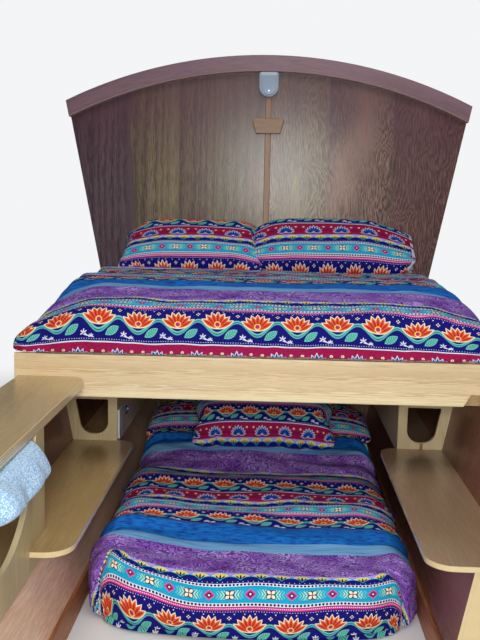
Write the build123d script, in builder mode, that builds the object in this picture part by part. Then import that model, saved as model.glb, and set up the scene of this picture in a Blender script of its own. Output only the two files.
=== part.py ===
"""The bed end of a vardo: a fitted two-tier berth with the arch-topped end wall that carries it.

Millimetres. Z is up from the wagon's floor, X is across the wagon, Y runs from the
aisle towards the end wall. The origin is the middle of the footprint, at floor level.
The side walls lean outwards, so most widths are worked out from a height.
"""
from build123d import *
from math import hypot
import os

os.makedirs("parts", exist_ok=True)

# The wagon's body
BERTH_WIDTH = 1900.0        # between the side walls at the top of the bed rail
WALL_LEAN = 0.194           # outward run of the side walls for each unit of height
END_DEPTH = 1926.0          # from the bed rail's face back to the end wall
LINING = 12.0               # ply lining of a side wall
WALL_THICK = 44.0           # whole side wall, lining and boards
END_LINING = 9.0
END_THICK = 42.0            # whole end wall, lining and boards
BOARD_PITCH = 98.0          # outer matchboards
GROOVE = 5.0                # depth of the vee between two matchboards
CUT_PAST = 1.0              # how far a cutter stands past the face that it cuts

# The arch over the end wall
ARCH_SPRING = 2200.0        # height of the bow's lower edge at the middle
ARCH_RADIUS = 2593.0        # radius of the bow's lower edge
BOW_DEPTH = 90.0
BOW_THICK = 60.0
BOW_CHAMFER = 5.0

# The bed rail and what carries the mattress
RAIL_TOP = 854.0
RAIL_BOTTOM = 685.0
RAIL_THICK = 27.0
LIPPING = 26.0              # height of the pale strip along the rail's lower edge
LIPPING_PROUD = 2.0
RAIL_TOP_R = 6.0
LIPPING_R = 5.0
RAIL_CLIP_X = 803.0         # where the clipped lower corner starts
RAIL_CLIP_RUN = 29.0
BASE_TOP = 733.0            # top of the bearers and side walls, underside of the slats
BEARER_X = 815.0
BEARER_DEEP = 48.0
SLAT_COUNT = 13
SLAT_WIDE = 90.0
SLAT_THICK = 22.0
SLAT_REACH = 912.0
SLAT_CLEAR = 10.0           # gap before the first slat and behind the last

# Shelves, lockers and the panels below them
PLY = 18.0
SHELF_TOP = 391.0
SHELF_EDGE = 542.0          # distance of a shelf's inner edge from the middle
SHELF_FRONT = 838.0         # reach in front of the rail
SHELF_BACK = 442.0          # where the wide part ends behind the rail
SHELF_FRONT_R = 85.0
SHELF_BACK_R = 75.0
LOCKER_FRONT = 430.0        # locker fronts stand this far behind the rail
LOCKER_SIDE = 620.0
LEDGE_FOOT = 614.0          # half width of the aisle at the floor
LEDGE_PLY = 12.0
SKIRTING_HIGH = 70.0
SKIRTING_THICK = 12.0

# The rounded finger opening in each locker front
FINGER_IN = 660.0
FINGER_OUT = 807.0
FINGER_TOP = 577.0
FINGER_LOW = 420.0
FINGER_R = 56.0
FINGER_TOP_R = 6.0

# The counter with the cubby beside the aisle, on the left
UNIT_REACH = 1550.0         # reach in front of the rail
UNIT_FACE = 664.0
UNIT_BACK = 650.0           # the upright ends this far in front of the rail
UPRIGHT_FOOT = 314.0
COUNTER_TOP = 766.0
COUNTER_OUT = 932.0
COUNTER_FAR_R = 80.0
COUNTER_NEAR_R = 30.0
COUNTER_EDGE_R = 4.0
SWEEP_R = 360.0             # the half-round opening in the upright
SWEEP_CENTRE_Y = 1100.0     # in front of the rail
SWEEP_CENTRE_Z = 796.0

# Small things on the end wall and the locker
BATTEN_X = 6.0
BATTEN_WIDE = 35.0
BATTEN_THICK = 10.0
BATTEN_CHAMFER = 3.0
BLOCK_TOP_WIDE = 181.0
BLOCK_LOW_WIDE = 141.0
BLOCK_HIGH = 89.0
BLOCK_TAPER_HIGH = 64.0     # of the lower part, which narrows downwards
BLOCK_THICK = 20.0
BLOCK_Z = 1849.0
BLOCK_CORNER_R = 9.0
BLOCK_EDGE_R = 4.0
SENSOR_WIDE = 116.0
SENSOR_LOW = 2055.0
SENSOR_DEEP = 52.0
SENSOR_CLEAR = 1.0          # between the sensor and the bow
SENSOR_TOP_R = 8.0
SENSOR_NOSE_R = 16.0
SOCKET_WIDE = 86.0
SOCKET_HIGH = 132.0
SOCKET_DEEP = 9.0
SOCKET_LIFT = 3.0           # above the shelf
SOCKET_CORNER_R = 5.0
SOCKET_EDGE_R = 2.0
CATCH_X = 724.5
CATCH_PLATE = (12.0, 26.0, 4.0)     # width, height and corner radius
CATCH_PLATE_THICK = 2.5
CATCH_PLATE_RISE = 14.0     # of its middle, above the shelf
CATCH_STEM_R = 3.5
CATCH_STEM_LONG = 8.0
CATCH_STEM_RISE = 19.0
CATCH_TURN = (7.0, 20.0, 3.0)       # width, height and corner radius
CATCH_TURN_THICK = 4.0
CATCH_TURN_RISE = 12.0
CATCH_TURN_OFF = 6.0        # in front of the locker

# Carriage bolts through the end wall, into the wagon's chassis
BOLT_R = 5.0
BOLT_SPAN_X = 1100.0
BOLT_SPAN_Z = 420.0
BOLT_MID_Z = 310.0

# Bedding of the upper bed
BEDDING_GAP = 1.0           # between bedding and what it lies on
CROWN_SHARE = 0.6           # top edges of a soft block, as a share of its upright edges
MATTRESS_X = 905.0
MATTRESS_TOP = 905.0
MATTRESS_R = 40.0
MATTRESS_FRONT_GAP = 4.0
MATTRESS_BACK_GAP = 12.0
DUVET_X = 968.0
DUVET_SET_BACK = 2.0        # of its front, from the rail's face
DUVET_FRONT_TOP = 1030.0
DUVET_FRONT_DROP = 25.0     # of the front edge below that
DUVET_BREAK = 160.0         # where the top levels out, behind the rail
DUVET_BACK_TOP = 1050.0
DUVET_END = 1640.0          # behind the rail
DUVET_CROWN_R = 60.0

# The upper pillows lean on the end wall: a rounded bar in section, tilted back
PILLOW_LONG = 400.0
PILLOW_THICK = 140.0
PILLOW_R = 60.0
PILLOW_TILT = 38.0
PILLOW_OFF_WALL = 192.0     # of the section's middle
PILLOW_MID_Z = 1207.0
# pillow, its span along X
UPPER_PILLOWS = (
    ("left", -795.0, -28.0),
    ("right", -20.0, 800.0),
)

# Bedding of the lower bed, its places along the wagon counted from the rail's face
LOW_BED_X = (-530.0, 515.0)
LOW_BED_Y = (-500.0, 1400.0)
LOW_MATTRESS_TOP = 190.0
LOW_MATTRESS_R = 50.0
LOW_DUVET_TOP = 295.0
LOW_DUVET_SIDE = 32.0
LOW_DUVET_END = 1080.0
LOW_DUVET_CORNER_R = 90.0
LOW_DUVET_CROWN_R = 70.0
LOW_PILLOW_R = 70.0
# pillow, its span along X, its span behind the rail, its height span
LOW_PILLOWS = (
    ("front", (-315.0, 370.0), (670.0, 980.0), (LOW_DUVET_TOP + BEDDING_GAP, 480.0)),
    ("left", (-565.0, -10.0), (1090.0, 1420.0), (LOW_MATTRESS_TOP + BEDDING_GAP, 400.0)),
    ("right", (5.0, 560.0), (1090.0, 1420.0), (LOW_MATTRESS_TOP + BEDDING_GAP, 400.0)),
)

# The grey cushion, which rolls out of the cubby over the upright's sweep
CUSHION_Y = (-1250.0, -832.0)       # counted from the rail's face
CUSHION_FOOT = SHELF_TOP + BEDDING_GAP
CUSHION_R = 16.0
# distance from the wagon's middle, height
CUSHION_SECTION = (
    (800.0, CUSHION_FOOT),
    (700.0, CUSHION_FOOT),
    (692.0, 555.0),
    (628.0, 568.0),
    (606.0, 620.0),
    (614.0, 688.0),
    (660.0, 722.0),
    (790.0, 700.0),
)

# Places along the wagon, from the middle of the footprint
RAIL_Y = (UNIT_REACH - END_DEPTH - END_THICK) / 2
END_FACE_Y = RAIL_Y + END_DEPTH
END_BACK_Y = END_FACE_Y + END_THICK
UNIT_FRONT_Y = RAIL_Y - UNIT_REACH
UPRIGHT_BACK_Y = RAIL_Y - UNIT_BACK
SHELF_FRONT_Y = RAIL_Y - SHELF_FRONT
SHELF_BACK_Y = RAIL_Y + SHELF_BACK
LOCKER_Y = RAIL_Y + LOCKER_FRONT
SHELF_LOW = SHELF_TOP - PLY
COUNTER_LOW = BASE_TOP
ARCH_CENTRE_Z = ARCH_SPRING - ARCH_RADIUS
ARCH_TALL = ARCH_SPRING + 2 * BOW_DEPTH     # taller than the arch, for outlines that it cuts

# side, its direction along X, where its wall starts, where its ledge panel starts
SIDES = (
    ("left", -1, UNIT_FRONT_Y, UNIT_FRONT_Y + PLY),
    ("right", 1, SHELF_FRONT_Y, SHELF_FRONT_Y + PLY),
)


def wall_x(height, inset=0.0):
    """Half width of the wagon at a height, less an inset from the wall's outer line."""
    return BERTH_WIDTH / 2 + WALL_LEAN * (height - RAIL_TOP) - inset


def ledge_x(height):
    """Half width of the aisle at a height, on the face of the leaning ledge panels."""
    return LEDGE_FOOT + WALL_LEAN * height


def across(y_back):
    """A plane across the wagon, local x along X and local y up, that extrudes towards the aisle."""
    return Plane.XZ.offset(-y_back)


def save(piece, name):
    """Labels a finished piece and writes it."""
    piece.part.label = name
    export_step(piece.part, f"parts/{name}.step")


def leaning_board(side, inner, outer, low, high, y_front, y_back):
    """A board between two leaning lines, given as functions of the height."""
    with BuildPart() as board:
        with BuildSketch(across(y_back)):
            with BuildLine():
                Polyline(
                    (side * inner(low), low),
                    (side * outer(low), low),
                    (side * outer(high), high),
                    (side * inner(high), high),
                    close=True,
                )
            make_face()
        extrude(amount=y_back - y_front)
    return board


# End wall: figured lining inside, matchboards outside, in one outline under the arch


def end_outline(y_back, inner_radius=0.0):
    """The end wall's outline across the wagon, or its arch alone above an inner radius."""
    with BuildSketch(across(y_back)) as outline:
        with BuildLine():
            Polyline(
                (-wall_x(0), 0),
                (wall_x(0), 0),
                (wall_x(ARCH_TALL), ARCH_TALL),
                (-wall_x(ARCH_TALL), ARCH_TALL),
                close=True,
            )
        make_face()
        with Locations((0, ARCH_CENTRE_Z)):
            Circle(ARCH_RADIUS + BOW_DEPTH, mode=Mode.INTERSECT)
            if inner_radius:
                Circle(inner_radius, mode=Mode.SUBTRACT)
    return outline.sketch


def bolt_circles(y_back):
    """The four bolt holes through the end wall."""
    with BuildSketch(across(y_back)) as holes:
        with Locations((0, BOLT_MID_Z)):
            with GridLocations(BOLT_SPAN_X, BOLT_SPAN_Z, 2, 2):
                Circle(BOLT_R)
    return holes.sketch


with BuildPart() as end_lining:
    extrude(end_outline(END_FACE_Y + END_LINING), amount=END_LINING)
    extrude(bolt_circles(END_FACE_Y + END_LINING), amount=END_LINING, mode=Mode.SUBTRACT)
save(end_lining, "end_lining")

with BuildPart() as end_boards:
    extrude(end_outline(END_BACK_Y), amount=END_THICK - END_LINING)
    extrude(bolt_circles(END_BACK_Y), amount=END_THICK - END_LINING, mode=Mode.SUBTRACT)
    groove_count = 2 * int(wall_x(ARCH_SPRING) / BOARD_PITCH) + 1
    with BuildSketch(Plane.XY):
        with BuildLine():
            Polyline(
                (-GROOVE, END_BACK_Y + CUT_PAST),
                (GROOVE, END_BACK_Y + CUT_PAST),
                (0, END_BACK_Y - GROOVE),
                close=True,
            )
        make_face()
    groove = extrude(amount=ARCH_TALL, mode=Mode.PRIVATE)
    with GridLocations(BOARD_PITCH, 1, groove_count, 1):
        add(groove, mode=Mode.SUBTRACT)
save(end_boards, "end_boards")

with BuildPart() as end_bow:
    extrude(end_outline(END_FACE_Y, ARCH_RADIUS), amount=BOW_THICK)
    arcs = end_bow.edges().filter_by(GeomType.CIRCLE).group_by(Axis.Y)[0]
    chamfer(arcs.sort_by(lambda edge: edge.radius)[0], BOW_CHAMFER)
save(end_bow, "end_bow")

with BuildPart() as end_batten:
    with BuildSketch(across(END_FACE_Y)):
        with Locations((BATTEN_X, (BASE_TOP + SENSOR_LOW) / 2)):
            Rectangle(BATTEN_WIDE, SENSOR_LOW - BASE_TOP)
    extrude(amount=BATTEN_THICK)
    chamfer(end_batten.faces().sort_by(Axis.Y)[0].edges().filter_by(Axis.Z), BATTEN_CHAMFER)
save(end_batten, "end_batten")

with BuildPart() as batten_block:
    with BuildSketch(across(END_FACE_Y - BATTEN_THICK)) as block_face:
        with BuildLine():
            Polyline(
                (BATTEN_X - BLOCK_LOW_WIDE / 2, BLOCK_Z),
                (BATTEN_X + BLOCK_LOW_WIDE / 2, BLOCK_Z),
                (BATTEN_X + BLOCK_TOP_WIDE / 2, BLOCK_Z + BLOCK_TAPER_HIGH),
                (BATTEN_X + BLOCK_TOP_WIDE / 2, BLOCK_Z + BLOCK_HIGH),
                (BATTEN_X - BLOCK_TOP_WIDE / 2, BLOCK_Z + BLOCK_HIGH),
                (BATTEN_X - BLOCK_TOP_WIDE / 2, BLOCK_Z + BLOCK_TAPER_HIGH),
                close=True,
            )
        make_face()
        fillet(block_face.vertices(), BLOCK_CORNER_R)
    extrude(amount=BLOCK_THICK)
    fillet(batten_block.faces().sort_by(Axis.Y)[0].edges(), BLOCK_EDGE_R)
save(batten_block, "batten_block")

with BuildPart() as sensor:
    with BuildSketch(across(END_FACE_Y)):
        half = SENSOR_WIDE / 2
        top = ARCH_SPRING - SENSOR_CLEAR
        with BuildLine():
            Polyline(
                (BATTEN_X - half, SENSOR_LOW + half),
                (BATTEN_X - half, top),
                (BATTEN_X + half, top),
                (BATTEN_X + half, SENSOR_LOW + half),
            )
            ThreePointArc(
                (BATTEN_X + half, SENSOR_LOW + half),
                (BATTEN_X, SENSOR_LOW),
                (BATTEN_X - half, SENSOR_LOW + half),
            )
        make_face()
    extrude(amount=SENSOR_DEEP)
    front = sensor.faces().sort_by(Axis.Y)[0].edges()
    fillet(front.group_by(Axis.Z)[-1], SENSOR_TOP_R)
    fillet(sensor.faces().sort_by(Axis.Y)[0].edges().filter_by(GeomType.CIRCLE), SENSOR_NOSE_R)
save(sensor, "sensor")

# Side walls, ledge panels, skirtings, shelves and lockers, the same on both sides
for name, side, wall_front_y, panel_front_y in SIDES:
    lining = leaning_board(
        side,
        lambda z: wall_x(z, WALL_THICK),
        lambda z: wall_x(z, WALL_THICK - LINING),
        0, BASE_TOP, wall_front_y, END_FACE_Y,
    )
    save(lining, f"side_lining_{name}")

    with BuildPart() as boards:
        with BuildSketch(across(END_FACE_Y)):
            with BuildLine():
                Polyline(
                    (side * wall_x(0, WALL_THICK - LINING), 0),
                    (side * wall_x(0), 0),
                    (side * wall_x(BASE_TOP), BASE_TOP),
                    (side * wall_x(BASE_TOP, WALL_THICK - LINING), BASE_TOP),
                    close=True,
                )
            make_face()
        extrude(amount=END_FACE_Y - wall_front_y)
        groove_x = side * wall_x(0)
        with BuildSketch(Plane.XY):
            with BuildLine():
                Polyline(
                    (groove_x + side * CUT_PAST, -side * GROOVE),
                    (groove_x + side * CUT_PAST, side * GROOVE),
                    (groove_x - side * GROOVE, 0),
                    close=True,
                )
            make_face()
        slope = hypot(BASE_TOP, WALL_LEAN * BASE_TOP) + GROOVE
        groove = extrude(amount=slope, dir=(side * WALL_LEAN, 0, 1), mode=Mode.PRIVATE)
        groove_rows = int((END_FACE_Y - wall_front_y) / BOARD_PITCH)
        with Locations((0, (END_FACE_Y + wall_front_y) / 2)):
            with GridLocations(1, BOARD_PITCH, 1, groove_rows):
                add(groove, mode=Mode.SUBTRACT)
    save(boards, f"side_boards_{name}")

    with BuildPart() as ledge_panel:
        with BuildSketch(across(END_FACE_Y)):
            with BuildLine():
                Polyline(
                    (side * ledge_x(0), 0),
                    (side * (ledge_x(0) + LEDGE_PLY), 0),
                    (side * (ledge_x(SHELF_LOW) + LEDGE_PLY), SHELF_LOW),
                    (side * ledge_x(SHELF_LOW), SHELF_LOW),
                    close=True,
                )
            make_face()
        extrude(amount=END_FACE_Y - panel_front_y)
        if side < 0:
            with BuildSketch(across(UPRIGHT_BACK_Y)):
                with Locations((side * UNIT_FACE, (UPRIGHT_FOOT + BASE_TOP) / 2)):
                    cut_wide = 2 * (ledge_x(BASE_TOP) + LEDGE_PLY - UNIT_FACE)
                    Rectangle(cut_wide, BASE_TOP - UPRIGHT_FOOT)
            extrude(amount=UPRIGHT_BACK_Y - panel_front_y, mode=Mode.SUBTRACT)
    save(ledge_panel, f"ledge_panel_{name}")

    skirting = leaning_board(
        side,
        lambda z: ledge_x(z) - SKIRTING_THICK,
        ledge_x,
        0, SKIRTING_HIGH, panel_front_y, END_FACE_Y,
    )
    save(skirting, f"skirting_{name}")

    # The shelf board runs on behind the locker front as the locker's floor. On the left
    # it stops at the upright.
    if side < 0:
        shelf_outside = (
            (side * UNIT_FACE, SHELF_FRONT_Y),
            (side * UNIT_FACE, UPRIGHT_BACK_Y),
            (side * BERTH_WIDTH / 2, UPRIGHT_BACK_Y),
        )
    else:
        shelf_outside = ((side * BERTH_WIDTH / 2, SHELF_FRONT_Y),)
    with BuildPart() as shelf:
        with BuildSketch(Plane.XY.offset(SHELF_LOW)) as shelf_outline:
            with BuildLine():
                Polyline(
                    (side * SHELF_EDGE, SHELF_FRONT_Y),
                    *shelf_outside,
                    (side * BERTH_WIDTH / 2, END_FACE_Y),
                    (side * LOCKER_SIDE, END_FACE_Y),
                    (side * LOCKER_SIDE, SHELF_BACK_Y),
                    (side * SHELF_EDGE, SHELF_BACK_Y),
                    close=True,
                )
            make_face()
            inner = -1 if side < 0 else 0
            tips = shelf_outline.vertices().group_by(Axis.X)[inner]
            fillet(tips.sort_by(Axis.Y)[0], SHELF_FRONT_R)
            tips = shelf_outline.vertices().group_by(Axis.X)[inner]
            fillet(tips.sort_by(Axis.Y)[-1], SHELF_BACK_R)
        extrude(amount=PLY)
        with BuildSketch(across(END_FACE_Y + CUT_PAST)):
            with BuildLine():
                Polyline(
                    (side * wall_x(0, WALL_THICK), 0),
                    (side * BERTH_WIDTH, 0),
                    (side * BERTH_WIDTH, BASE_TOP),
                    (side * wall_x(BASE_TOP, WALL_THICK), BASE_TOP),
                    close=True,
                )
            make_face()
        extrude(amount=END_FACE_Y - UNIT_FRONT_Y + 2 * CUT_PAST, mode=Mode.SUBTRACT)
    save(shelf, f"shelf_{name}")

    with BuildPart() as locker_front:
        with BuildSketch(across(LOCKER_Y + PLY)):
            with BuildLine():
                Polyline(
                    (side * LOCKER_SIDE, SHELF_TOP),
                    (side * wall_x(SHELF_TOP, WALL_THICK), SHELF_TOP),
                    (side * wall_x(BASE_TOP, WALL_THICK), BASE_TOP),
                    (side * LOCKER_SIDE, BASE_TOP),
                    close=True,
                )
            make_face()
        extrude(amount=PLY)
        with BuildSketch(across(LOCKER_Y + PLY)) as finger:
            low_out = FINGER_OUT - WALL_LEAN * (FINGER_TOP - FINGER_LOW)
            with BuildLine():
                Polyline(
                    (side * FINGER_IN, FINGER_TOP),
                    (side * FINGER_IN, FINGER_LOW),
                    (side * low_out, FINGER_LOW),
                    (side * FINGER_OUT, FINGER_TOP),
                    close=True,
                )
            make_face()
            fillet(finger.vertices().group_by(Axis.Y)[0], FINGER_R)
            fillet(finger.vertices().group_by(Axis.Y)[-1], FINGER_TOP_R)
        extrude(amount=PLY, mode=Mode.SUBTRACT)
    save(locker_front, f"locker_front_{name}")

    with BuildPart() as locker_side:
        with BuildSketch(across(END_FACE_Y)):
            with Locations((side * (LOCKER_SIDE + PLY / 2), (SHELF_TOP + BASE_TOP) / 2)):
                Rectangle(PLY, BASE_TOP - SHELF_TOP)
        extrude(amount=END_FACE_Y - LOCKER_Y - PLY)
    save(locker_side, f"locker_side_{name}")

    bearer = leaning_board(
        side,
        lambda z: BEARER_X,
        lambda z: wall_x(z, WALL_THICK),
        BASE_TOP - BEARER_DEEP, BASE_TOP, RAIL_Y + RAIL_THICK, LOCKER_Y,
    )
    save(bearer, f"bearer_{name}")

# The board that closes the right ledge box towards the aisle's front
ledge_end = leaning_board(
    1,
    lambda z: ledge_x(z) + LEDGE_PLY,
    lambda z: wall_x(z, WALL_THICK),
    0, SHELF_LOW, SHELF_FRONT_Y + PLY, SHELF_FRONT_Y + PLY + LEDGE_PLY,
)
save(ledge_end, "ledge_end_right")

# Bed rail with its clipped lower corners, its lipping, the rear bearer and the slats


def clip_x(height):
    """Half length of the rail at a height in its clipped lower corners."""
    return RAIL_CLIP_X + RAIL_CLIP_RUN * (height - RAIL_BOTTOM) / (BASE_TOP - RAIL_BOTTOM)


LIP_TOP = RAIL_BOTTOM + LIPPING
with BuildPart() as bed_rail:
    with BuildSketch(across(RAIL_Y + RAIL_THICK)):
        with BuildLine():
            Polyline(
                (-clip_x(LIP_TOP), LIP_TOP),
                (clip_x(LIP_TOP), LIP_TOP),
                (clip_x(BASE_TOP), BASE_TOP),
                (BERTH_WIDTH / 2, BASE_TOP),
                (BERTH_WIDTH / 2, RAIL_TOP),
                (-BERTH_WIDTH / 2, RAIL_TOP),
                (-BERTH_WIDTH / 2, BASE_TOP),
                (-clip_x(BASE_TOP), BASE_TOP),
                close=True,
            )
        make_face()
    extrude(amount=RAIL_THICK)
    fillet(bed_rail.faces().sort_by(Axis.Z)[-1].edges().filter_by(Axis.X), RAIL_TOP_R)
save(bed_rail, "bed_rail")

with BuildPart() as rail_lipping:
    with BuildSketch(across(RAIL_Y + RAIL_THICK)):
        with BuildLine():
            Polyline(
                (-clip_x(RAIL_BOTTOM), RAIL_BOTTOM),
                (clip_x(RAIL_BOTTOM), RAIL_BOTTOM),
                (clip_x(LIP_TOP), LIP_TOP),
                (-clip_x(LIP_TOP), LIP_TOP),
                close=True,
            )
        make_face()
    extrude(amount=RAIL_THICK + LIPPING_PROUD)
    fillet(rail_lipping.faces().sort_by(Axis.Z)[0].edges().filter_by(Axis.X), LIPPING_R)
save(rail_lipping, "rail_lipping")

with BuildPart() as rear_bearer:
    with BuildSketch(across(END_FACE_Y)):
        with Locations((0, BASE_TOP - BEARER_DEEP / 2)):
            Rectangle(2 * LOCKER_SIDE, BEARER_DEEP)
    extrude(amount=BEARER_DEEP)
save(rear_bearer, "rear_bearer")

with BuildPart() as slats:
    slat_run = END_DEPTH - RAIL_THICK - 2 * SLAT_CLEAR
    slat_pitch = (slat_run - SLAT_WIDE) / (SLAT_COUNT - 1)
    slat_mid_y = RAIL_Y + RAIL_THICK + SLAT_CLEAR + slat_run / 2
    with BuildSketch(Plane.XY.offset(BASE_TOP)):
        with Locations((0, slat_mid_y)):
            with GridLocations(1, slat_pitch, 1, SLAT_COUNT):
                Rectangle(2 * SLAT_REACH, SLAT_WIDE)
    extrude(amount=SLAT_THICK)
save(slats, "slats")

# Counter, swept upright, cubby floor and end panel of the unit on the left
with BuildPart() as counter:
    with BuildSketch(Plane.XY.offset(COUNTER_LOW)) as counter_outline:
        with BuildLine():
            Polyline(
                (-UNIT_FACE, UNIT_FRONT_Y),
                (-UNIT_FACE, RAIL_Y - LIPPING_PROUD),
                (-COUNTER_OUT, RAIL_Y - LIPPING_PROUD),
                (-COUNTER_OUT, UNIT_FRONT_Y),
                close=True,
            )
        make_face()
        corners = counter_outline.vertices().group_by(Axis.X)[-1].sort_by(Axis.Y)
        fillet(corners[-1], COUNTER_FAR_R)
        corners = counter_outline.vertices().group_by(Axis.X)[-1].sort_by(Axis.Y)
        fillet(corners[0], COUNTER_NEAR_R)
    extrude(amount=COUNTER_TOP - COUNTER_LOW)
    fillet(counter.faces().sort_by(Axis.Z)[-1].edges().sort_by(Axis.X)[-1], COUNTER_EDGE_R)
save(counter, "counter")

with BuildPart() as upright:
    with BuildSketch(Plane.YZ.offset(-UNIT_FACE - PLY)):
        with BuildLine():
            Polyline(
                (UNIT_FRONT_Y + PLY, UPRIGHT_FOOT),
                (UPRIGHT_BACK_Y, UPRIGHT_FOOT),
                (UPRIGHT_BACK_Y, COUNTER_LOW),
                (UNIT_FRONT_Y + PLY, COUNTER_LOW),
                close=True,
            )
        make_face()
        with Locations((RAIL_Y - SWEEP_CENTRE_Y, SWEEP_CENTRE_Z)):
            Circle(SWEEP_R, mode=Mode.SUBTRACT)
    extrude(amount=PLY)
save(upright, "upright")

with BuildPart() as cubby_floor:
    with BuildSketch(across(UPRIGHT_BACK_Y)):
        with BuildLine():
            Polyline(
                (-UNIT_FACE - PLY, SHELF_LOW),
                (-wall_x(SHELF_LOW, WALL_THICK), SHELF_LOW),
                (-wall_x(SHELF_TOP, WALL_THICK), SHELF_TOP),
                (-UNIT_FACE - PLY, SHELF_TOP),
                close=True,
            )
        make_face()
    extrude(amount=UPRIGHT_BACK_Y - UNIT_FRONT_Y - PLY)
save(cubby_floor, "cubby_floor")

with BuildPart() as unit_end:
    with BuildSketch(across(UNIT_FRONT_Y + PLY)):
        with BuildLine():
            Polyline(
                (-ledge_x(0), 0),
                (-wall_x(0, WALL_THICK), 0),
                (-wall_x(COUNTER_LOW, WALL_THICK), COUNTER_LOW),
                (-UNIT_FACE, COUNTER_LOW),
                (-UNIT_FACE, UPRIGHT_FOOT),
                (-ledge_x(UPRIGHT_FOOT), UPRIGHT_FOOT),
                close=True,
            )
        make_face()
    extrude(amount=PLY)
save(unit_end, "unit_end")

# Socket plate on the left locker's side, brass catch on the right locker's front
with BuildPart() as socket_plate:
    with BuildSketch(Plane.YZ.offset(-LOCKER_SIDE)) as plate_face:
        with Locations((LOCKER_Y + PLY + SOCKET_WIDE / 2, SHELF_TOP + SOCKET_LIFT + SOCKET_HIGH / 2)):
            RectangleRounded(SOCKET_WIDE, SOCKET_HIGH, SOCKET_CORNER_R)
    extrude(amount=SOCKET_DEEP)
    fillet(socket_plate.faces().sort_by(Axis.X)[-1].edges(), SOCKET_EDGE_R)
save(socket_plate, "socket_plate")

with BuildPart() as brass_catch:
    with BuildSketch(across(LOCKER_Y)):
        with Locations((CATCH_X, SHELF_TOP + CATCH_PLATE_RISE)):
            RectangleRounded(*CATCH_PLATE)
    extrude(amount=CATCH_PLATE_THICK)
    with BuildSketch(across(LOCKER_Y - CATCH_PLATE_THICK)):
        with Locations((CATCH_X, SHELF_TOP + CATCH_STEM_RISE)):
            Circle(CATCH_STEM_R)
    extrude(amount=CATCH_STEM_LONG)
    with BuildSketch(across(LOCKER_Y - CATCH_TURN_OFF)):
        with Locations((CATCH_X, SHELF_TOP + CATCH_TURN_RISE)):
            RectangleRounded(*CATCH_TURN)
    extrude(amount=CATCH_TURN_THICK)
save(brass_catch, "brass_catch")

# Bedding, as plain closed solids


def rounded_block(x_span, y_span, z_span, radius):
    """A cushion-like block with rounded upright and top edges."""
    with BuildPart() as block:
        with BuildSketch(Plane.XY.offset(z_span[0])):
            with Locations(((x_span[0] + x_span[1]) / 2, (y_span[0] + y_span[1]) / 2)):
                RectangleRounded(x_span[1] - x_span[0], y_span[1] - y_span[0], radius)
        extrude(amount=z_span[1] - z_span[0])
        fillet(block.faces().sort_by(Axis.Z)[-1].edges(), radius * CROWN_SHARE)
    return block


upper_mattress = rounded_block(
    (-MATTRESS_X, MATTRESS_X),
    (RAIL_Y + RAIL_THICK + MATTRESS_FRONT_GAP, END_FACE_Y - MATTRESS_BACK_GAP),
    (BASE_TOP + SLAT_THICK, MATTRESS_TOP),
    MATTRESS_R,
)
save(upper_mattress, "upper_mattress")

with BuildPart() as upper_duvet:
    duvet_front_y = RAIL_Y + DUVET_SET_BACK
    lip_back_y = duvet_front_y + RAIL_THICK
    with BuildSketch(Plane.YZ.offset(-DUVET_X)) as duvet_section:
        with BuildLine():
            Polyline(
                (duvet_front_y, RAIL_TOP + BEDDING_GAP),
                (lip_back_y, RAIL_TOP + BEDDING_GAP),
                (lip_back_y, MATTRESS_TOP + BEDDING_GAP),
                (RAIL_Y + DUVET_END, MATTRESS_TOP + BEDDING_GAP),
                (RAIL_Y + DUVET_END, DUVET_BACK_TOP),
                (RAIL_Y + DUVET_BREAK, DUVET_FRONT_TOP),
                (duvet_front_y, DUVET_FRONT_TOP - DUVET_FRONT_DROP),
                close=True,
            )
        make_face()
        crown = duvet_section.vertices().group_by(Axis.X)[0].sort_by(Axis.Y)[-1]
        fillet(crown, DUVET_CROWN_R)
    extrude(amount=2 * DUVET_X)
save(upper_duvet, "upper_duvet")

for name, x_low, x_high in UPPER_PILLOWS:
    with BuildPart() as pillow:
        with BuildSketch(Plane.YZ.offset(x_low)):
            with Locations(Location((END_FACE_Y - PILLOW_OFF_WALL, PILLOW_MID_Z, 0), PILLOW_TILT)):
                RectangleRounded(PILLOW_LONG, PILLOW_THICK, PILLOW_R)
        extrude(amount=x_high - x_low)
    save(pillow, f"upper_pillow_{name}")

lower_mattress = rounded_block(
    LOW_BED_X,
    (RAIL_Y + LOW_BED_Y[0], RAIL_Y + LOW_BED_Y[1]),
    (0, LOW_MATTRESS_TOP),
    LOW_MATTRESS_R,
)
save(lower_mattress, "lower_mattress")

with BuildPart() as lower_duvet:
    duvet_x = (LOW_BED_X[0] - LOW_DUVET_SIDE, LOW_BED_X[1] + LOW_DUVET_SIDE)
    duvet_y = (RAIL_Y + LOW_BED_Y[0] - LOW_DUVET_SIDE, RAIL_Y + LOW_DUVET_END)
    with BuildSketch(Plane.XY):
        with Locations(((duvet_x[0] + duvet_x[1]) / 2, (duvet_y[0] + duvet_y[1]) / 2)):
            RectangleRounded(duvet_x[1] - duvet_x[0], duvet_y[1] - duvet_y[0], LOW_DUVET_CORNER_R)
    extrude(amount=LOW_DUVET_TOP)
    fillet(lower_duvet.faces().sort_by(Axis.Z)[-1].edges(), LOW_DUVET_CROWN_R)
    with BuildSketch(Plane.XY):
        with Locations(((LOW_BED_X[0] + LOW_BED_X[1]) / 2, RAIL_Y + LOW_DUVET_END)):
            Rectangle(
                LOW_BED_X[1] - LOW_BED_X[0] + 2 * BEDDING_GAP,
                2 * (LOW_DUVET_END - LOW_BED_Y[0] + BEDDING_GAP),
            )
    extrude(amount=LOW_MATTRESS_TOP + BEDDING_GAP, mode=Mode.SUBTRACT)
save(lower_duvet, "lower_duvet")

for name, x_span, y_span, z_span in LOW_PILLOWS:
    low_pillow = rounded_block(x_span, (RAIL_Y + y_span[0], RAIL_Y + y_span[1]), z_span, LOW_PILLOW_R)
    save(low_pillow, f"lower_pillow_{name}")

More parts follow.
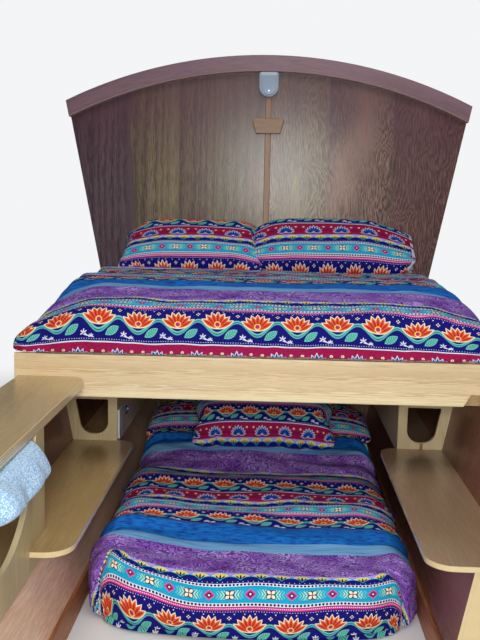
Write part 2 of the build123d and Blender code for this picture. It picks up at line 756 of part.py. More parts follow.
with BuildPart() as grey_cushion:
    with BuildSketch(across(RAIL_Y + CUSHION_Y[1])) as cushion_section:
        with BuildLine():
            Polyline(*[(-out, height) for out, height in CUSHION_SECTION], close=True)
        make_face()
        fillet(cushion_section.vertices(), CUSHION_R)
    extrude(amount=CUSHION_Y[1] - CUSHION_Y[0])
save(grey_cushion, "grey_cushion")
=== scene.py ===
# %% [markdown]
# # Dressing the bed end of a vardo
# The joinery of this fitted berth arrives as a fixed frame, in metres, with the wagon's
# floor at z = 0 and the aisle towards -Y. This lesson gives every board its finish and
# makes the bedding that a joiner's drawing leaves out: duvets, pillows and mattresses.
# The frame is loaded first and its box is kept, so that nothing made here outgrows it.

# %% Load the frame
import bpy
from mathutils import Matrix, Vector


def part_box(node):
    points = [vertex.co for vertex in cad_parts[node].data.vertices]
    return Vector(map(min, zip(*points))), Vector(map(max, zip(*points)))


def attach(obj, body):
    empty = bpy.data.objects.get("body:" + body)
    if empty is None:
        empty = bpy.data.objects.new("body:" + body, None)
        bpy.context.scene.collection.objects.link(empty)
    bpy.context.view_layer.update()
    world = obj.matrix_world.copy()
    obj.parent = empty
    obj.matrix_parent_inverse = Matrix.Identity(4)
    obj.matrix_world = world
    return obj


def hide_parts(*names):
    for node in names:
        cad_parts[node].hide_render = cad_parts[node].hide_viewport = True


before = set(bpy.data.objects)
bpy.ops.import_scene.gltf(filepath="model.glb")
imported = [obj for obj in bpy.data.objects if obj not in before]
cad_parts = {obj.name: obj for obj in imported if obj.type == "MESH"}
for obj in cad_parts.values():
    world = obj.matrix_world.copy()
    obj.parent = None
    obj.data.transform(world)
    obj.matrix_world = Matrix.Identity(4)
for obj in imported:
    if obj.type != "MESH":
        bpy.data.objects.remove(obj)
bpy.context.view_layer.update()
print("pieces of joinery and bedding in the frame:", len(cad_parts))

# %% [markdown]
# ## The camera
# A picture of a room end is all straight lines, so the camera comes before anything
# else: its place, its turn, tilt and roll, and a focal length in pixels of the picture.
# Guessing them by eye would never bring the rail, the shelves and the arch together at
# once. They were fitted to the joinery's own edges, and are written as plain angles.

# %% Camera
import math

import bmesh
import bpy
from mathutils import Matrix, Vector, noise

PICTURE_HIGH = 640      # pixels, the longer side of the picture
FOCAL_PIXELS = 888
EYE = Vector((0.0556, -3.6008, 1.4662))
TURN_LEFT = math.radians(2.072)
TILT_DOWN = math.radians(7.746)
ROLL = math.radians(1.109)

camera = bpy.data.objects.new("camera", bpy.data.cameras.new("camera"))
bpy.context.scene.collection.objects.link(camera)
camera.data.lens = FOCAL_PIXELS * camera.data.sensor_width / PICTURE_HIGH
camera.data.clip_start = 0.05
turn = Matrix.Rotation(TURN_LEFT, 4, "Z")
tilt = Matrix.Rotation(math.pi / 2 - TILT_DOWN, 4, "X")
camera.matrix_world = Matrix.Translation(EYE) @ turn @ tilt @ Matrix.Rotation(ROLL, 4, "Z")
bpy.context.scene.camera = camera
print("lens in millimetres:", round(camera.data.lens, 2))

# %% [markdown]
# ## A few short words for shader nodes
# Procedural finishes are long chains of small nodes. Placing each by hand takes three
# lines, so two classes keep it to one: a wire is a value on its way between nodes, and
# plain signs such as + and < join two wires, or a wire and a number, by a math node.

# %% Wires


def sign(operation, turned=False):
    """A plain sign between two numbers, as a math node."""
    def between(left, right):
        return left.wires.calc(operation, *((right, left) if turned else (left, right)))
    return between


class Wire:
    """A number, vector or colour that leaves one node for others."""

    __add__ = __radd__ = sign("ADD")
    __mul__ = __rmul__ = sign("MULTIPLY")
    __sub__ = sign("SUBTRACT")
    __rsub__ = sign("SUBTRACT", turned=True)
    __truediv__ = sign("DIVIDE")
    __lt__ = sign("LESS_THAN")
    __gt__ = sign("GREATER_THAN")

    def __init__(self, wires, socket):
        self.wires, self.socket = wires, socket

    def __abs__(self):
        return self.wires.calc("ABSOLUTE", self)


class Wires:
    """Adds nodes to one shader tree and links them as it goes."""

    def __init__(self, tree):
        self.tree = tree

    def feed(self, made, inputs):
        """Gives a node its inputs, by name or number: wires are linked, numbers are set."""
        for socket, value in dict(inputs).items():
            if isinstance(value, Wire):
                self.tree.links.new(value.socket, made.inputs[socket])
            else:
                made.inputs[socket].default_value = value
        return made

    def node(self, kind, inputs=(), **settings):
        """A new node, with its settings and then its inputs."""
        made = self.tree.nodes.new(kind)
        for key, value in settings.items():
            setattr(made, key, value)
        return self.feed(made, inputs)

    def out(self, kind, inputs=(), leaves=0, **settings):
        """The wire that leaves a new node."""
        return Wire(self, self.node(kind, inputs, **settings).outputs[leaves])

    def group(self, name, inputs):
        """A shader group with its own values, as wires by their names."""
        made = self.node("ShaderNodeGroup", inputs, node_tree=bpy.data.node_groups[name])
        return {socket.name: Wire(self, socket) for socket in made.outputs}

    def calc(self, operation, *values, clamp=False):
        """Arithmetic on numbers."""
        return self.out("ShaderNodeMath", enumerate(values), operation=operation, use_clamp=clamp)

    def vector(self, operation, *values):
        """Arithmetic on vectors."""
        leaves = "Value" if operation in ("DOT_PRODUCT", "LENGTH", "DISTANCE") else "Vector"
        return self.out("ShaderNodeVectorMath", enumerate(values), leaves, operation=operation)

    def mix(self, share, under, over):
        """A blend of two colours."""
        return self.out("ShaderNodeMix", {0: share, 6: under, 7: over}, 2, data_type="RGBA")

    def noise(self, place, scale, detail=2.0, roughness=0.5):
        """Soft noise from 0 to 1."""
        inputs = {"Vector": place, "Scale": scale, "Detail": detail, "Roughness": roughness}
        return self.out("ShaderNodeTexNoise", inputs)

    def split(self, vector):
        """The three numbers of a vector."""
        return [Wire(self, socket) for socket in self.node("ShaderNodeSeparateXYZ", {0: vector}).outputs]

    def join(self, x, y, z=0.0):
        """A vector of three numbers."""
        return self.out("ShaderNodeCombineXYZ", {0: x, 1: y, 2: z})

    def ease(self, value, low, high):
        """0 below low and 1 above high, with a soft step between."""
        inputs = {"Value": value, "From Min": low, "From Max": high}
        return self.out("ShaderNodeMapRange", inputs, interpolation_type="SMOOTHSTEP")

    def place(self):
        """Where a point lies in the wagon, in metres."""
        return self.out("ShaderNodeTexCoord", leaves="Object")

    def raised(self, height, strength, distance, normal=None):
        """A surface that rises and falls with a height."""
        inputs = {"Height": height, "Strength": strength, "Distance": distance}
        if normal is not None:
            inputs["Normal"] = normal
        return self.out("ShaderNodeBump", inputs)


def fract(number):
    """What a number has over its whole part."""
    return number.wires.calc("FRACT", number)


def length(x, y):
    """How far a flat point is from 0."""
    return x.wires.vector("LENGTH", x.wires.join(x, y))


def paint(code):
    """A colour written as six hex digits, in the linear values that shaders take."""
    channels = [int(code[start:start + 2], 16) / 255 for start in (0, 2, 4)]
    linear = [c / 12.92 if c <= 0.04045 else ((c + 0.055) / 1.055) ** 2.4 for c in channels]
    return (*linear, 1.0)


print("navy in linear values:", [round(channel, 3) for channel in paint("0b0872")])

# %% [markdown]
# ## Groups and finishes
# A shared effect is a group with named sockets, and a finish is a material with one
# Principled shader. Two functions make them, so that each cell below holds only what is
# its own. A socket's kind follows from its first value: one number, three or four.

# %% New groups and new finishes
WHITE, BLACK, ORIGIN = (1, 1, 1, 1), (0, 0, 0, 1), (0, 0, 0)


def new_group(name, inputs, outputs):
    """A shader group: its wires, what arrives by name, and the node that it all leaves by."""
    group = bpy.data.node_groups.new(name, "ShaderNodeTree")
    for title, value in inputs.items():
        kind = "Float" if isinstance(value, float) else {3: "Vector", 4: "Color"}[len(value)]
        socket = group.interface.new_socket(title, in_out="INPUT", socket_type="NodeSocket" + kind)
        socket.default_value = value
    for title, kind in outputs.items():
        group.interface.new_socket(title, in_out="OUTPUT", socket_type="NodeSocket" + kind)
    wires = Wires(group)
    entry = wires.node("NodeGroupInput").outputs
    return wires, {title: Wire(wires, entry[title]) for title in inputs}, wires.node("NodeGroupOutput")


def new_finish(name, **plain):
    """A material, its wires and its shader, with the numbers that are the same all over it."""
    material = bpy.data.materials.new(name)
    material.use_nodes = True
    material.node_tree.nodes.clear()
    wires = Wires(material.node_tree)
    titles = {title.replace("_", " ").title().replace("Ior", "IOR"): value for title, value in plain.items()}
    shader = wires.node("ShaderNodeBsdfPrincipled", titles)
    wires.node("ShaderNodeOutputMaterial", {"Surface": Wire(wires, shader.outputs[0])})
    return material, wires, shader


finished = []


def finish_nodes(material, *names):
    """Gives a material to pieces of the frame, through their own slots."""
    for name in names:
        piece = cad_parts[name]
        piece.data.materials.clear()
        piece.data.materials.append(material)
    finished.extend(names)


print("pieces to finish:", len(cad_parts))

# %% [markdown]
# ## Wood grain, edge wear and plywood edges
# Every board here is wood, so three effects are built once as groups. Grain is a wave
# across the board whose phase drifts with noise that is stretched along the board,
# which draws cathedral arches as a rotary-cut veneer does. Wear finds the edges by
# comparing the surface with a rounded copy of itself. Plywood shows its layers only
# where the surface turns away from the sheet's own face.

# %% The three wood groups
wires, arrive, leave = new_group("Wood grain", {
    "Position": ORIGIN, "Light": WHITE, "Dark": BLACK, "Rings": 60.0,
    "Waviness": 0.1, "Stretch": 0.12, "Figure": 0.45,
}, {"Color": "Color", "Height": "Float"})
x, y, z = wires.split(arrive["Position"])
stretched = wires.join(x, y, z * arrive["Stretch"])
drifted = wires.noise(stretched, 3.2, 3.0) * arrive["Waviness"] + x
fibre = wires.ease(wires.noise(wires.join(x, y, z * 0.03), 300.0, 3.0, 0.6), 0.3, 0.7)
wave = wires.calc("SINE", (fibre * 0.9 + drifted * arrive["Rings"]) * (2 * math.pi)) * 0.5 + 0.5
ring = wires.calc("POWER", wave, 1.5) * wires.ease(wires.noise(stretched, 2.1, 2.0), 0.3, 0.65)
blotch = wires.ease(wires.noise(stretched, 5.0, 4.0), 0.3, 0.7)
tone = wires.calc("ADD", blotch * 0.40, fibre * 0.28 + ring * arrive["Figure"], clamp=True)
wires.feed(leave, {"Color": wires.mix(tone, arrive["Light"], arrive["Dark"]), "Height": ring * -0.3 + fibre})

wires, arrive, leave = new_group("Edge wear", {
    "Radius": 0.002, "Amount": 0.6,
}, {"Wear": "Float", "Normal": "Vector"})
rounded = wires.out("ShaderNodeBevel", {"Radius": arrive["Radius"]}, samples=4)
flat = wires.out("ShaderNodeNewGeometry", leaves="True Normal")
turned = 1.0 - wires.vector("DOT_PRODUCT", rounded, flat)
rubbed = wires.calc("MULTIPLY", turned, arrive["Amount"] * 6.0, clamp=True)
wires.feed(leave, {"Wear": rubbed, "Normal": rounded})

wires, arrive, leave = new_group("Sheet edge", {
    "Position": ORIGIN, "Axis": (0, 0, 1), "Layer": 0.003,
    "Face": WHITE, "Pale layer": WHITE, "Dark layer": BLACK,
}, {"Color": "Color"})
facing = wires.out("ShaderNodeNewGeometry", leaves="True Normal")
edge = abs(wires.vector("DOT_PRODUCT", facing, arrive["Axis"])) < 0.75
level = wires.vector("DOT_PRODUCT", arrive["Position"], arrive["Axis"]) / arrive["Layer"]
layers = wires.mix(fract(level) > 0.52, arrive["Pale layer"], arrive["Dark layer"])
wires.feed(leave, {"Color": wires.mix(edge, arrive["Face"], layers)})
print("shader groups so far:", [group.name for group in bpy.data.node_groups])

# %% [markdown]
# ## The wood finishes
# Each board gets the grain along its own length: the rail's runs across the wagon, the
# shelves' runs from front to back, and the end wall's runs upright. One function makes
# all of them from a short row of values, because a joiner finishes them all in the same
# way, with two coats of varnish over the bare or stained wood.

# %% Varnished wood
ALONG = {"x": (2, 1, 0), "y": (0, 2, 1), "z": (0, 1, 2)}
LYING, FACING_AISLE, FACING_SIDE = (0, 0, 1), (0, 1, 0), (1, 0, 0)


def surface(wires, shader, grain, colour, worn_code, radius, wear, strength=0.12, distance=0.0006):
    """Puts a grain's colour and height on a board, rubbed pale at its edges."""
    edges = wires.group("Edge wear", {"Radius": radius, "Amount": wear})
    wires.feed(shader, {
        "Base Color": wires.mix(edges["Wear"], colour, paint(worn_code)),
        "Normal": wires.raised(grain["Height"], strength, distance, edges["Normal"]),
    })


def varnished(name, nodes, along, light, dark, rings, waviness, stretch=0.1, figure=0.45,
              roughness=0.45, coat=0.12, sheet=None, layer=0.003, wear=0.25):
    """Wood with its grain along x, y or z; a sheet's own axis adds plywood layers on its edges."""
    material, wires, shader = new_finish(name, coat_weight=coat, coat_roughness=0.25, specular_ior_level=0.3)
    axes = wires.split(wires.place())
    grain = wires.group("Wood grain", {
        "Position": wires.join(*[axes[index] for index in ALONG[along]]), "Light": paint(light),
        "Dark": paint(dark), "Rings": rings, "Waviness": waviness, "Stretch": stretch, "Figure": figure,
    })
    colour = grain["Color"]
    if sheet:
        colour = wires.group("Sheet edge", {
            "Position": wires.place(), "Axis": sheet, "Layer": layer, "Face": colour,
            "Pale layer": paint("efdcae"), "Dark layer": paint("c8a873"),
        })["Color"]
    surface(wires, shader, grain, colour, light, 0.0025, wear)
    wires.feed(shader, {"Roughness": grain["Height"] * 0.12 + (roughness - 0.06)})
    finish_nodes(material, *nodes)


print("grain can run along:", ", ".join(ALONG))

# %% [markdown]
# ## Pale boards
# The shelves, counter and lockers are birch plywood under a glossy lacquer, and the
# framing below the mattress is rough-sawn deal.

# %% Pale plywood, rail and framing
lacquer = {"coat": 0.7, "roughness": 0.34}
rough_sawn = {"coat": 0.03, "roughness": 0.55}
varnished("shelf plywood", ("shelf_left", "cubby_floor"), "y", "c4a672", "9a7c50", 7, 0.35,
          figure=0.22, sheet=LYING, **lacquer)
varnished("right shelf plywood", ("shelf_right",), "y", "a88c70", "7e644d", 7, 0.35,
          figure=0.22, sheet=LYING, **lacquer)
varnished("counter plywood", ("counter",), "y", "cfb47c", "9c7c4c", 9, 0.35, 0.16, 0.35,
          sheet=LYING, layer=0.0083, **lacquer)
varnished("locker plywood", ("locker_front_left", "locker_front_right", "unit_end"),
          "z", "d0bf95", "a89167", 8, 0.3, 0.2, 0.25, sheet=FACING_AISLE)
varnished("upright plywood", ("upright", "locker_side_left", "locker_side_right"),
          "z", "d3c092", "aa9061", 8, 0.3, 0.2, 0.3, sheet=FACING_SIDE)
varnished("rail wood", ("bed_rail",), "x", "f6e2b8", "c29e6c", 12, 0.3, 0.05, 0.4)
varnished("lipping wood", ("rail_lipping",), "x", "f6e6ba", "d9bd86", 14, 0.1, 0.05, 0.2)
varnished("deal", ("bearer_left", "bearer_right"), "y", "cfb585", "a17d4d", 22, 0.15, **rough_sawn)
varnished("slat deal", ("slats", "rear_bearer"), "x", "cfb585", "a17d4d", 22, 0.15, **rough_sawn)
varnished("batten wood", ("end_batten",), "z", "a88260", "6f4e39", 30, 0.1)
varnished("block wood", ("batten_block",), "x", "a67f59", "77573c", 30, 0.1, figure=0.6)
print("pieces finished so far:", len(finished))

# %% [markdown]
# ## Stained boards
# The linings beside the low bed and the ledges below the shelves are stained a warm
# brown. The left ledge is the same stained plywood as the right one, painted paler as painted light where
# light falls on it.

# %% Stained plywood and skirtings
varnished("lining plywood", ("side_lining_left", "side_lining_right", "ledge_end_right"),
          "z", "96614c", "593529", 7, 0.35, 0.2, 0.6, sheet=FACING_SIDE, coat=0.3, wear=0.08)
# the left ledge's paler colours are painted light, for the light that falls on it
varnished("left ledge plywood with painted light", ("ledge_panel_left",),
          "y", "ffdcbc", "dba686", 7, 0.35, 0.2, 0.6, sheet=FACING_SIDE, coat=0.4, wear=0.08)
varnished("right ledge plywood", ("ledge_panel_right",),
          "y", "a8705a", "6b3f37", 7, 0.35, 0.2, 0.6, sheet=FACING_SIDE, coat=0.4, wear=0.08)
varnished("skirting wood", ("skirting_left", "skirting_right"), "y", "b9794b", "7d4a2c", 24, 0.15,
          wear=0.06, figure=0.6)
print("pieces finished so far:", len(finished))

# %% [markdown]
# ## The figured end wall
# The lining behind the pillows is the largest surface of all: upright leaves of rotary-cut
# veneer, dark and straight-grained on the left, curly and redder on the right. One grain
# over the whole wall would show no joints, so each leaf has its own tone from a short
# table and slides its own stretch of grain up and down. Where the door's light lies on the
# varnish, the wall looks paler: that comes from the gloss and the lamp, and also from
# painted light, as the two leaves in the middle of the wall are given paler tones where that patch lies.

# %% End wall veneer
# where a leaf starts across the wall, its light tone, its dark tone, how curly it is
VENEER_LEAVES = (
    (-1.20, "6a5258", "2c1c26", 0.0),
    (-0.72, "958260", "453528", 0.1),
    (-0.515, "8f7759", "432e27", 0.2),
    # these two middle leaves are paler in part as painted light, for the pale patch that the door's light
    # leaves on the varnish
    (-0.30, "a4946a", "4c3a26", 0.3),
    (0.006, "b8a678", "523c26", 0.8),
    (0.36, "a98570", "482c26", 1.0),
    (0.74, "9a6c62", "422626", 0.9),
)
WAVY_EDGE = -0.72       # the leaf whose edge was cut along the grain
SEAM_SOFT = 0.003       # half of the width over which one leaf's tone gives way to the next
material, wires, shader = new_finish("figured veneer", coat_weight=0.38, coat_roughness=0.22,
                                     specular_ior_level=0.2)
x, y, z = wires.split(wires.place())
wandering = wires.noise(wires.join(0.0, 0.0, z), 1.9, 1.0) * 0.13 + x
light, dark, curl, leaf = paint(VENEER_LEAVES[0][1]), paint(VENEER_LEAVES[0][2]), 0.0, 0.0
for start, light_tone, dark_tone, curliness in VENEER_LEAVES[1:]:
    passed = wires.ease(wandering if start == WAVY_EDGE else x, start - SEAM_SOFT, start + SEAM_SOFT)
    light = wires.mix(passed, light, paint(light_tone))
    dark = wires.mix(passed, dark, paint(dark_tone))
    leaf = passed + leaf
    curl = passed * (curliness - curl) + curl
slid = wires.join(x, leaf * 3.7, leaf * 1.9 + z)
straight, curly = [wires.group("Wood grain", {
    "Position": slid, "Light": light, "Dark": dark, "Rings": rings,
    "Waviness": waviness, "Stretch": stretch, "Figure": figure,
}) for rings, waviness, stretch, figure in ((18.0, 0.30, 0.09, 1.1), (54.0, 0.50, 0.45, 2.2))]
wall = wires.mix(curl, straight["Color"], curly["Color"])
height = straight["Height"] + curly["Height"]
wires.feed(shader, {
    "Base Color": wires.mix(wires.ease(z, 1.50, 2.15) * 0.70, wall, paint("552c3a")),
    "Roughness": height * 0.05 + 0.40,
    "Normal": wires.raised(height, 0.10, 0.0008),
})
finish_nodes(material, "end_lining")
print("leaves of veneer on the end wall:", len(VENEER_LEAVES))

# %% [markdown]
# ## The bow
# The bow over the end wall is laminated, so its grain runs round the arch: the wood's
# across is the distance from the arch's centre, and its along is the way round.

# %% The bow, with its grain round the arch
BOW_RADIUS = 2.593      # of the bow's lower edge
BOW_DEPTH = 0.09
bow_centre_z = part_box("end_bow")[1].z - BOW_RADIUS - BOW_DEPTH
material, wires, shader = new_finish("bow wood", coat_weight=0.12, coat_roughness=0.3, specular_ior_level=0.3,
                                     roughness=0.4)
x, y, z = wires.split(wires.place())
rise = z - bow_centre_z
reach = wires.vector("LENGTH", wires.join(x, 0.0, rise))
grain = wires.group("Wood grain", {
    "Position": wires.join(reach, y, wires.calc("ARCTAN2", x, rise) * BOW_RADIUS),
    "Light": paint("94707a"), "Dark": paint("2c1320"),
    "Rings": 95.0, "Waviness": 0.14, "Stretch": 0.06, "Figure": 1.2,
})
# a pale band along the bow's lower edge is a painted highlight, where the chamfer catches the light
painted_chamfer_highlight = (reach < BOW_RADIUS + 0.005) * 0.7
surface(wires, shader, grain, wires.mix(painted_chamfer_highlight, grain["Color"], paint("c3a79c")), "a98d85", 0.003, 0.2)
finish_nodes(material, "end_bow")
print("the bow's centre is", round(bow_centre_z, 3), "m above the floor")

# %% [markdown]
# ## The outer matchboards
# From outside, the berth is a wall of narrow upright boards with a vee between each two.
# The vees are in the joinery already. What a single board material lacks is that no two
# real boards match, so a random number for each board shifts its tone and its grain.

# %% Matchboards
BOARD_PITCH = 0.098


def matchboard(name, across, *nodes):
    """Varnished boards, side by side along X (0) or Y (1), with a groove at 0."""
    material, wires, shader = new_finish(name, coat_weight=0.1, coat_roughness=0.3, specular_ior_level=0.3,
                                         roughness=0.45)
    axes = wires.split(wires.place())
    board = wires.calc("FLOOR", axes[across] / BOARD_PITCH)
    chance = wires.out("ShaderNodeTexWhiteNoise", {"W": board}, "Value", noise_dimensions="1D")
    grain = wires.group("Wood grain", {
        "Position": wires.join(axes[across], board * 2.3, chance * 7.0 + axes[2]),
        "Light": paint("a06c46"), "Dark": paint("633a25"),
        "Rings": 24.0, "Waviness": 0.15, "Stretch": 0.08, "Figure": 0.5,
    })
    toned = wires.mix(chance * 0.45, grain["Color"], paint("59331f"))
    surface(wires, shader, grain, toned, "a8764f", 0.003, 0.25, 0.15, 0.0008)
    finish_nodes(material, *nodes)


matchboard("end matchboards", 0, "end_boards")
matchboard("side matchboards", 1, "side_boards_left", "side_boards_right")
end_low, end_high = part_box("end_boards")
print("boards across the end:", round((end_high.x - end_low.x) / BOARD_PITCH))

# %% [markdown]
# ## The printed cotton
# Both duvets and all five pillows are covered in bands of old block-print borders:
# lotus and vine on navy, fan flowers on crimson, diamonds on turquoise, scallops,
# scrolls on lilac, and plain washes of blue. A picture could be wrapped on, but shapes
# worked out from the cloth's own flat measures stay sharp at any size and follow every
# fold. Lengths in the print are in repeats: one lotus to the next is 1.

# %% Small shapes for the print


def moved(point, x, y):
    """A point as seen from a spot."""
    return point.wires.vector("SUBTRACT", point, (x, y, 0))


def size_of(point):
    """How far a point is from 0."""
    return point.wires.vector("LENGTH", point)


def mirrored_to(point, x, y):
    """How far a point is from the nearest of four mirrored spots."""
    return point.wires.vector("DISTANCE", point.wires.vector("ABSOLUTE", point), (x, y, 0))


def laid(point, middle, angle, half_wide, half_long):
    """A point in the measures of a small shape: its middle is 0 and its ends are 1."""
    return point.wires.out("ShaderNodeMapping", {
        "Vector": point, "Location": (*middle, 0), "Rotation": (0, 0, math.radians(angle)),
        "Scale": (half_wide, half_long, 1),
    }, vector_type="TEXTURE")


def petal(point, middle, angle, half_wide, half_long):
    """How far out a point is in a petal with two sharp tips, which ends at 1."""
    across, along, _ = point.wires.split(laid(point, middle, angle, half_wide, half_long))
    return along * along + abs(across)


def petals(point, rows):
    """The least petal distance of several petals that fan out from one foot."""
    least = None
    for angle, reach, wide in rows:
        lean = math.radians(angle)
        middle = (-math.sin(lean) * reach / 2, math.cos(lean) * reach / 2)
        far = petal(point, middle, angle, wide / 2, reach / 2)
        least = far if least is None else point.wires.calc("MINIMUM", least, far)
    return least


def fan(count, spread, reach, wide, droop=0.0):
    """Rows for petals: evenly spread angles, the outer ones shorter by droop."""
    half = (count - 1) / 2
    return [((i - half) / half * spread, reach * (1 - droop * abs(i - half) / half), wide)
            for i in range(count)]


print("a fan of three petals:", fan(3, 60, 0.4, 0.1))

# %% [markdown]
# ## A band of the print
# Every band is drawn like a block print: a ground, then one ink after another, each where
# some distance is short enough. So a band keeps its colour so far, and three short words
# add to it: ink by a mask, rings by a distance, and dots in a row.

# %% Inks and bands
INK = {name: paint(code) for name, code in {
    "navy": "0b0872", "crimson": "a50d49", "turquoise": "13a6cf", "pink": "dd52a2",
    "magenta": "c21b70", "lilac": "c49cf0", "violet": "9658c4", "purple": "3c1a70",
    "pale": "7db6e2", "shaded pale": "4f8ccb", "blue": "187cd8", "deep blue": "0a3f9e",
    "mint": "74ccb4", "teal": "2f8f88", "vine": "55b0ac", "leaf": "bfe7ae",
    "orange": "ee6b2c", "red": "c02a1c", "cream": "f6e6c4", "yellow": "f3d860",
    "white": "dfe2f0", "black": "15122c", "wine": "6e0a35",
}.items()}


class Band:
    """One band of the print as a shader group: cloth place in, colour out."""

    def __init__(self, name, ground):
        self.wires, arrive, self.leave = new_group("Band " + name, {"Place": ORIGIN}, {"Color": "Color"})
        self.place = arrive["Place"]
        self.x, self.y, _ = self.wires.split(self.place)
        self.cell = fract(self.x + 0.5) - 0.5
        self.point = self.wires.join(self.cell, self.y)
        self.colour = INK[ground]

    def ink(self, where, name):
        """Lays an ink where a mask is 1."""
        self.colour = self.wires.mix(where, self.colour, INK[name])

    def rings(self, far, *limits):
        """Lays inks one over another, each as far out as its limit."""
        for limit, name in limits:
            self.ink(far < limit, name)

    def dots(self, count, height, radius, name):
        """Lays a row of dots, so many to a repeat."""
        side = (fract(self.x * count) - 0.5) / count
        self.rings(length(side, self.y - height), (radius, name))

    def stripe(self, low, high, name):
        """Lays a plain stripe along the band."""
        self.ink((self.y > low) * (self.y < high), name)


print("inks:", len(INK))

# %% [markdown]
# ## Nine bands
# The flowers are fans of petals round one foot, the scallops are circles in two staggered
# rows, and the scrolls are rings round scattered cells that a soft noise bends.

# %% The bands' own pictures


def draw_navy(band):
    """Lotus flowers over a waving vine, with leaves, sprigs and dots."""
    wires, point = band.wires, band.point
    turn = band.x * (2 * math.pi)
    slope = wires.calc("SINE", turn) * 1.07
    steep = wires.calc("SQRT", slope * slope + 1.0)
    for low, name in ((0.385, "vine"), (0.445, "mint")):
        middle = wires.calc("COSINE", turn) * -0.170 + low
        band.rings(abs(band.y - middle) / steep, (0.020, name))
    across, along, _ = wires.split(laid(point, (0.34, 0.255), -56, 0.095, 0.20))
    frond = along * along + abs(across)
    rib = fract(along * 4.0 - abs(across)) < 0.45
    band.rings(frond, (1.0, "mint"))
    band.ink(rib * (frond < 0.8), "teal")
    for spot, rows in (((-0.36, 0.17), fan(5, 115, 0.10, 0.036)), ((-0.17, 0.10), fan(5, 100, 0.075, 0.03))):
        band.rings(petals(moved(point, *spot), rows), (0.9, "white"))
    band.rings(size_of(laid(point, (-0.265, 0.115), 78, 0.012, 0.11)), (1.0, "white"))
    foot = moved(point, 0, 0.36)
    lotus = petals(foot, fan(7, 56, 0.53, 0.17, 0.06))
    cup = size_of(laid(foot, (0, 0.150), 0, 0.180, 0.150))
    band.rings(wires.calc("MINIMUM", lotus, cup), (1.0, "cream"), (0.68, "orange"))
    band.rings(lotus, (0.34, "red"))
    band.rings(size_of(moved(foot, 0, 0.12)), (0.082, "yellow"), (0.056, "magenta"))
    for count, height, radius in ((16, 0.045, 0.011), (16, 0.965, 0.011), (4, 0.90, 0.016)):
        band.dots(count, height, radius, "white")
    for aside, up in ((0, 0.036), (0, -0.036), (0.036, 0), (-0.036, 0)):
        band.rings(mirrored_to(point, 0.5 - aside, 0.79 + up), (0.018, "cream"))


def draw_crimson(band):
    """Blue fan flowers on crimson, with cream seeds and a pale line at the top."""
    wires = band.wires
    band.ink(wires.ease(wires.noise(band.place, 26.0, 3.0), 0.5, 0.7), "wine")
    foot = wires.join(fract(band.x) - 0.5, band.y - 0.11)
    band.rings(petals(foot, fan(9, 84, 0.40, 0.115, 0.2)), (1.0, "white"), (0.66, "blue"), (0.42, "navy"))
    band.rings(mirrored_to(foot, 0.36, 0.30), (0.040, "cream"), (0.018, "orange"))
    band.rings(petals(moved(band.point, 0, 0.16), fan(5, 70, 0.24, 0.06)), (0.8, "wine"))
    band.stripe(0.625, 0.66, "white")


def draw_cord(band):
    """A pink line stitched with white."""
    band.stripe(0.025, 0.065, "pink")
    band.dots(20, 0.052, 0.013, "white")


def draw_beads(band):
    """A white line with black beads."""
    band.dots(11, 0.045, 0.030, "black")


def draw_turquoise(band):
    """Magenta diamonds, cream four-petals and leafy arrows on turquoise."""
    wires, across, up = band.wires, abs(band.cell), abs(band.y - 0.21)
    arrow = (fract(across * 14.0 + up * 10.0) < 0.45) * (across > 0.17) * (across < 0.38) * (up < 0.115)
    lime = wires.mix(across > 0.27, INK["mint"], INK["leaf"])
    band.colour = wires.mix(arrow, band.colour, lime)
    band.rings(up * 1.1 + across, (0.15, "pink"), (0.118, "magenta"))
    band.rings(length(across, up), (0.058, "black"), (0.028, "white"))
    aside = wires.join(0.5 - across, up)
    band.rings(petal(aside, (0.055, 0.055), -45, 0.042, 0.06), (1.6, "black"), (1.0, "cream"))
    band.rings(size_of(aside), (0.02, "magenta"))


def draw_scallop(band):
    """Scales: yellow fans in pale arches, behind a lower row of navy ones."""
    doubled = band.x * 2.0
    side, low_side = [(fract(place) - 0.5) * 0.5 for place in (doubled, doubled + 0.5)]
    foot = band.wires.join(side, band.y - 0.07)
    band.ink(band.y > 0.2, "lilac")
    band.rings(size_of(foot), (0.31, "turquoise"), (0.285, "white"), (0.265, "yellow"))
    band.rings(petals(foot, fan(5, 60, 0.24, 0.06)), (0.85, "black"))
    band.rings(length(low_side, band.y + 0.07), (0.31, "turquoise"), (0.285, "navy"))
    band.ink(band.y < 0.09, "navy")
    band.dots(8, 0.045, 0.011, "white")


def draw_scroll(band):
    """Curling scrolls in purple on lilac."""
    wires = band.wires
    swirl = wires.noise(band.place, 2.3, 2.0)
    fine = wires.noise(band.place, 13.0, 3.0, 0.6)
    bent = wires.join(swirl * 1.3 + band.x, band.y, swirl)
    cells = wires.out("ShaderNodeTexVoronoi", {"Vector": bent, "Scale": 2.9}, "Distance", feature="SMOOTH_F1")
    curls = wires.calc("SINE", cells * 52.0 + fine * 5.0)
    band.ink(wires.ease(wires.noise(band.place, 1.1, 1.0), 0.35, 0.7), "violet")
    band.ink(wires.ease(fine * 2.0 + curls, 0.3, 1.5) * 0.85, "purple")


def draw_pale(band):
    """A plain wash of pale blue."""
    streak = band.wires.noise(band.wires.vector("MULTIPLY", band.place, (0.4, 6.0, 1.0)), 2.0, 3.0)
    band.ink(band.wires.ease(streak, 0.4, 0.75), "shaded pale")


def draw_blue(band):
    """A watered blue with darker runs."""
    streak = band.wires.noise(band.wires.vector("MULTIPLY", band.place, (1.0, 3.5, 1.0)), 3.2, 4.0, 0.6)
    band.ink(band.wires.ease(streak, 0.42, 0.66), "deep blue")


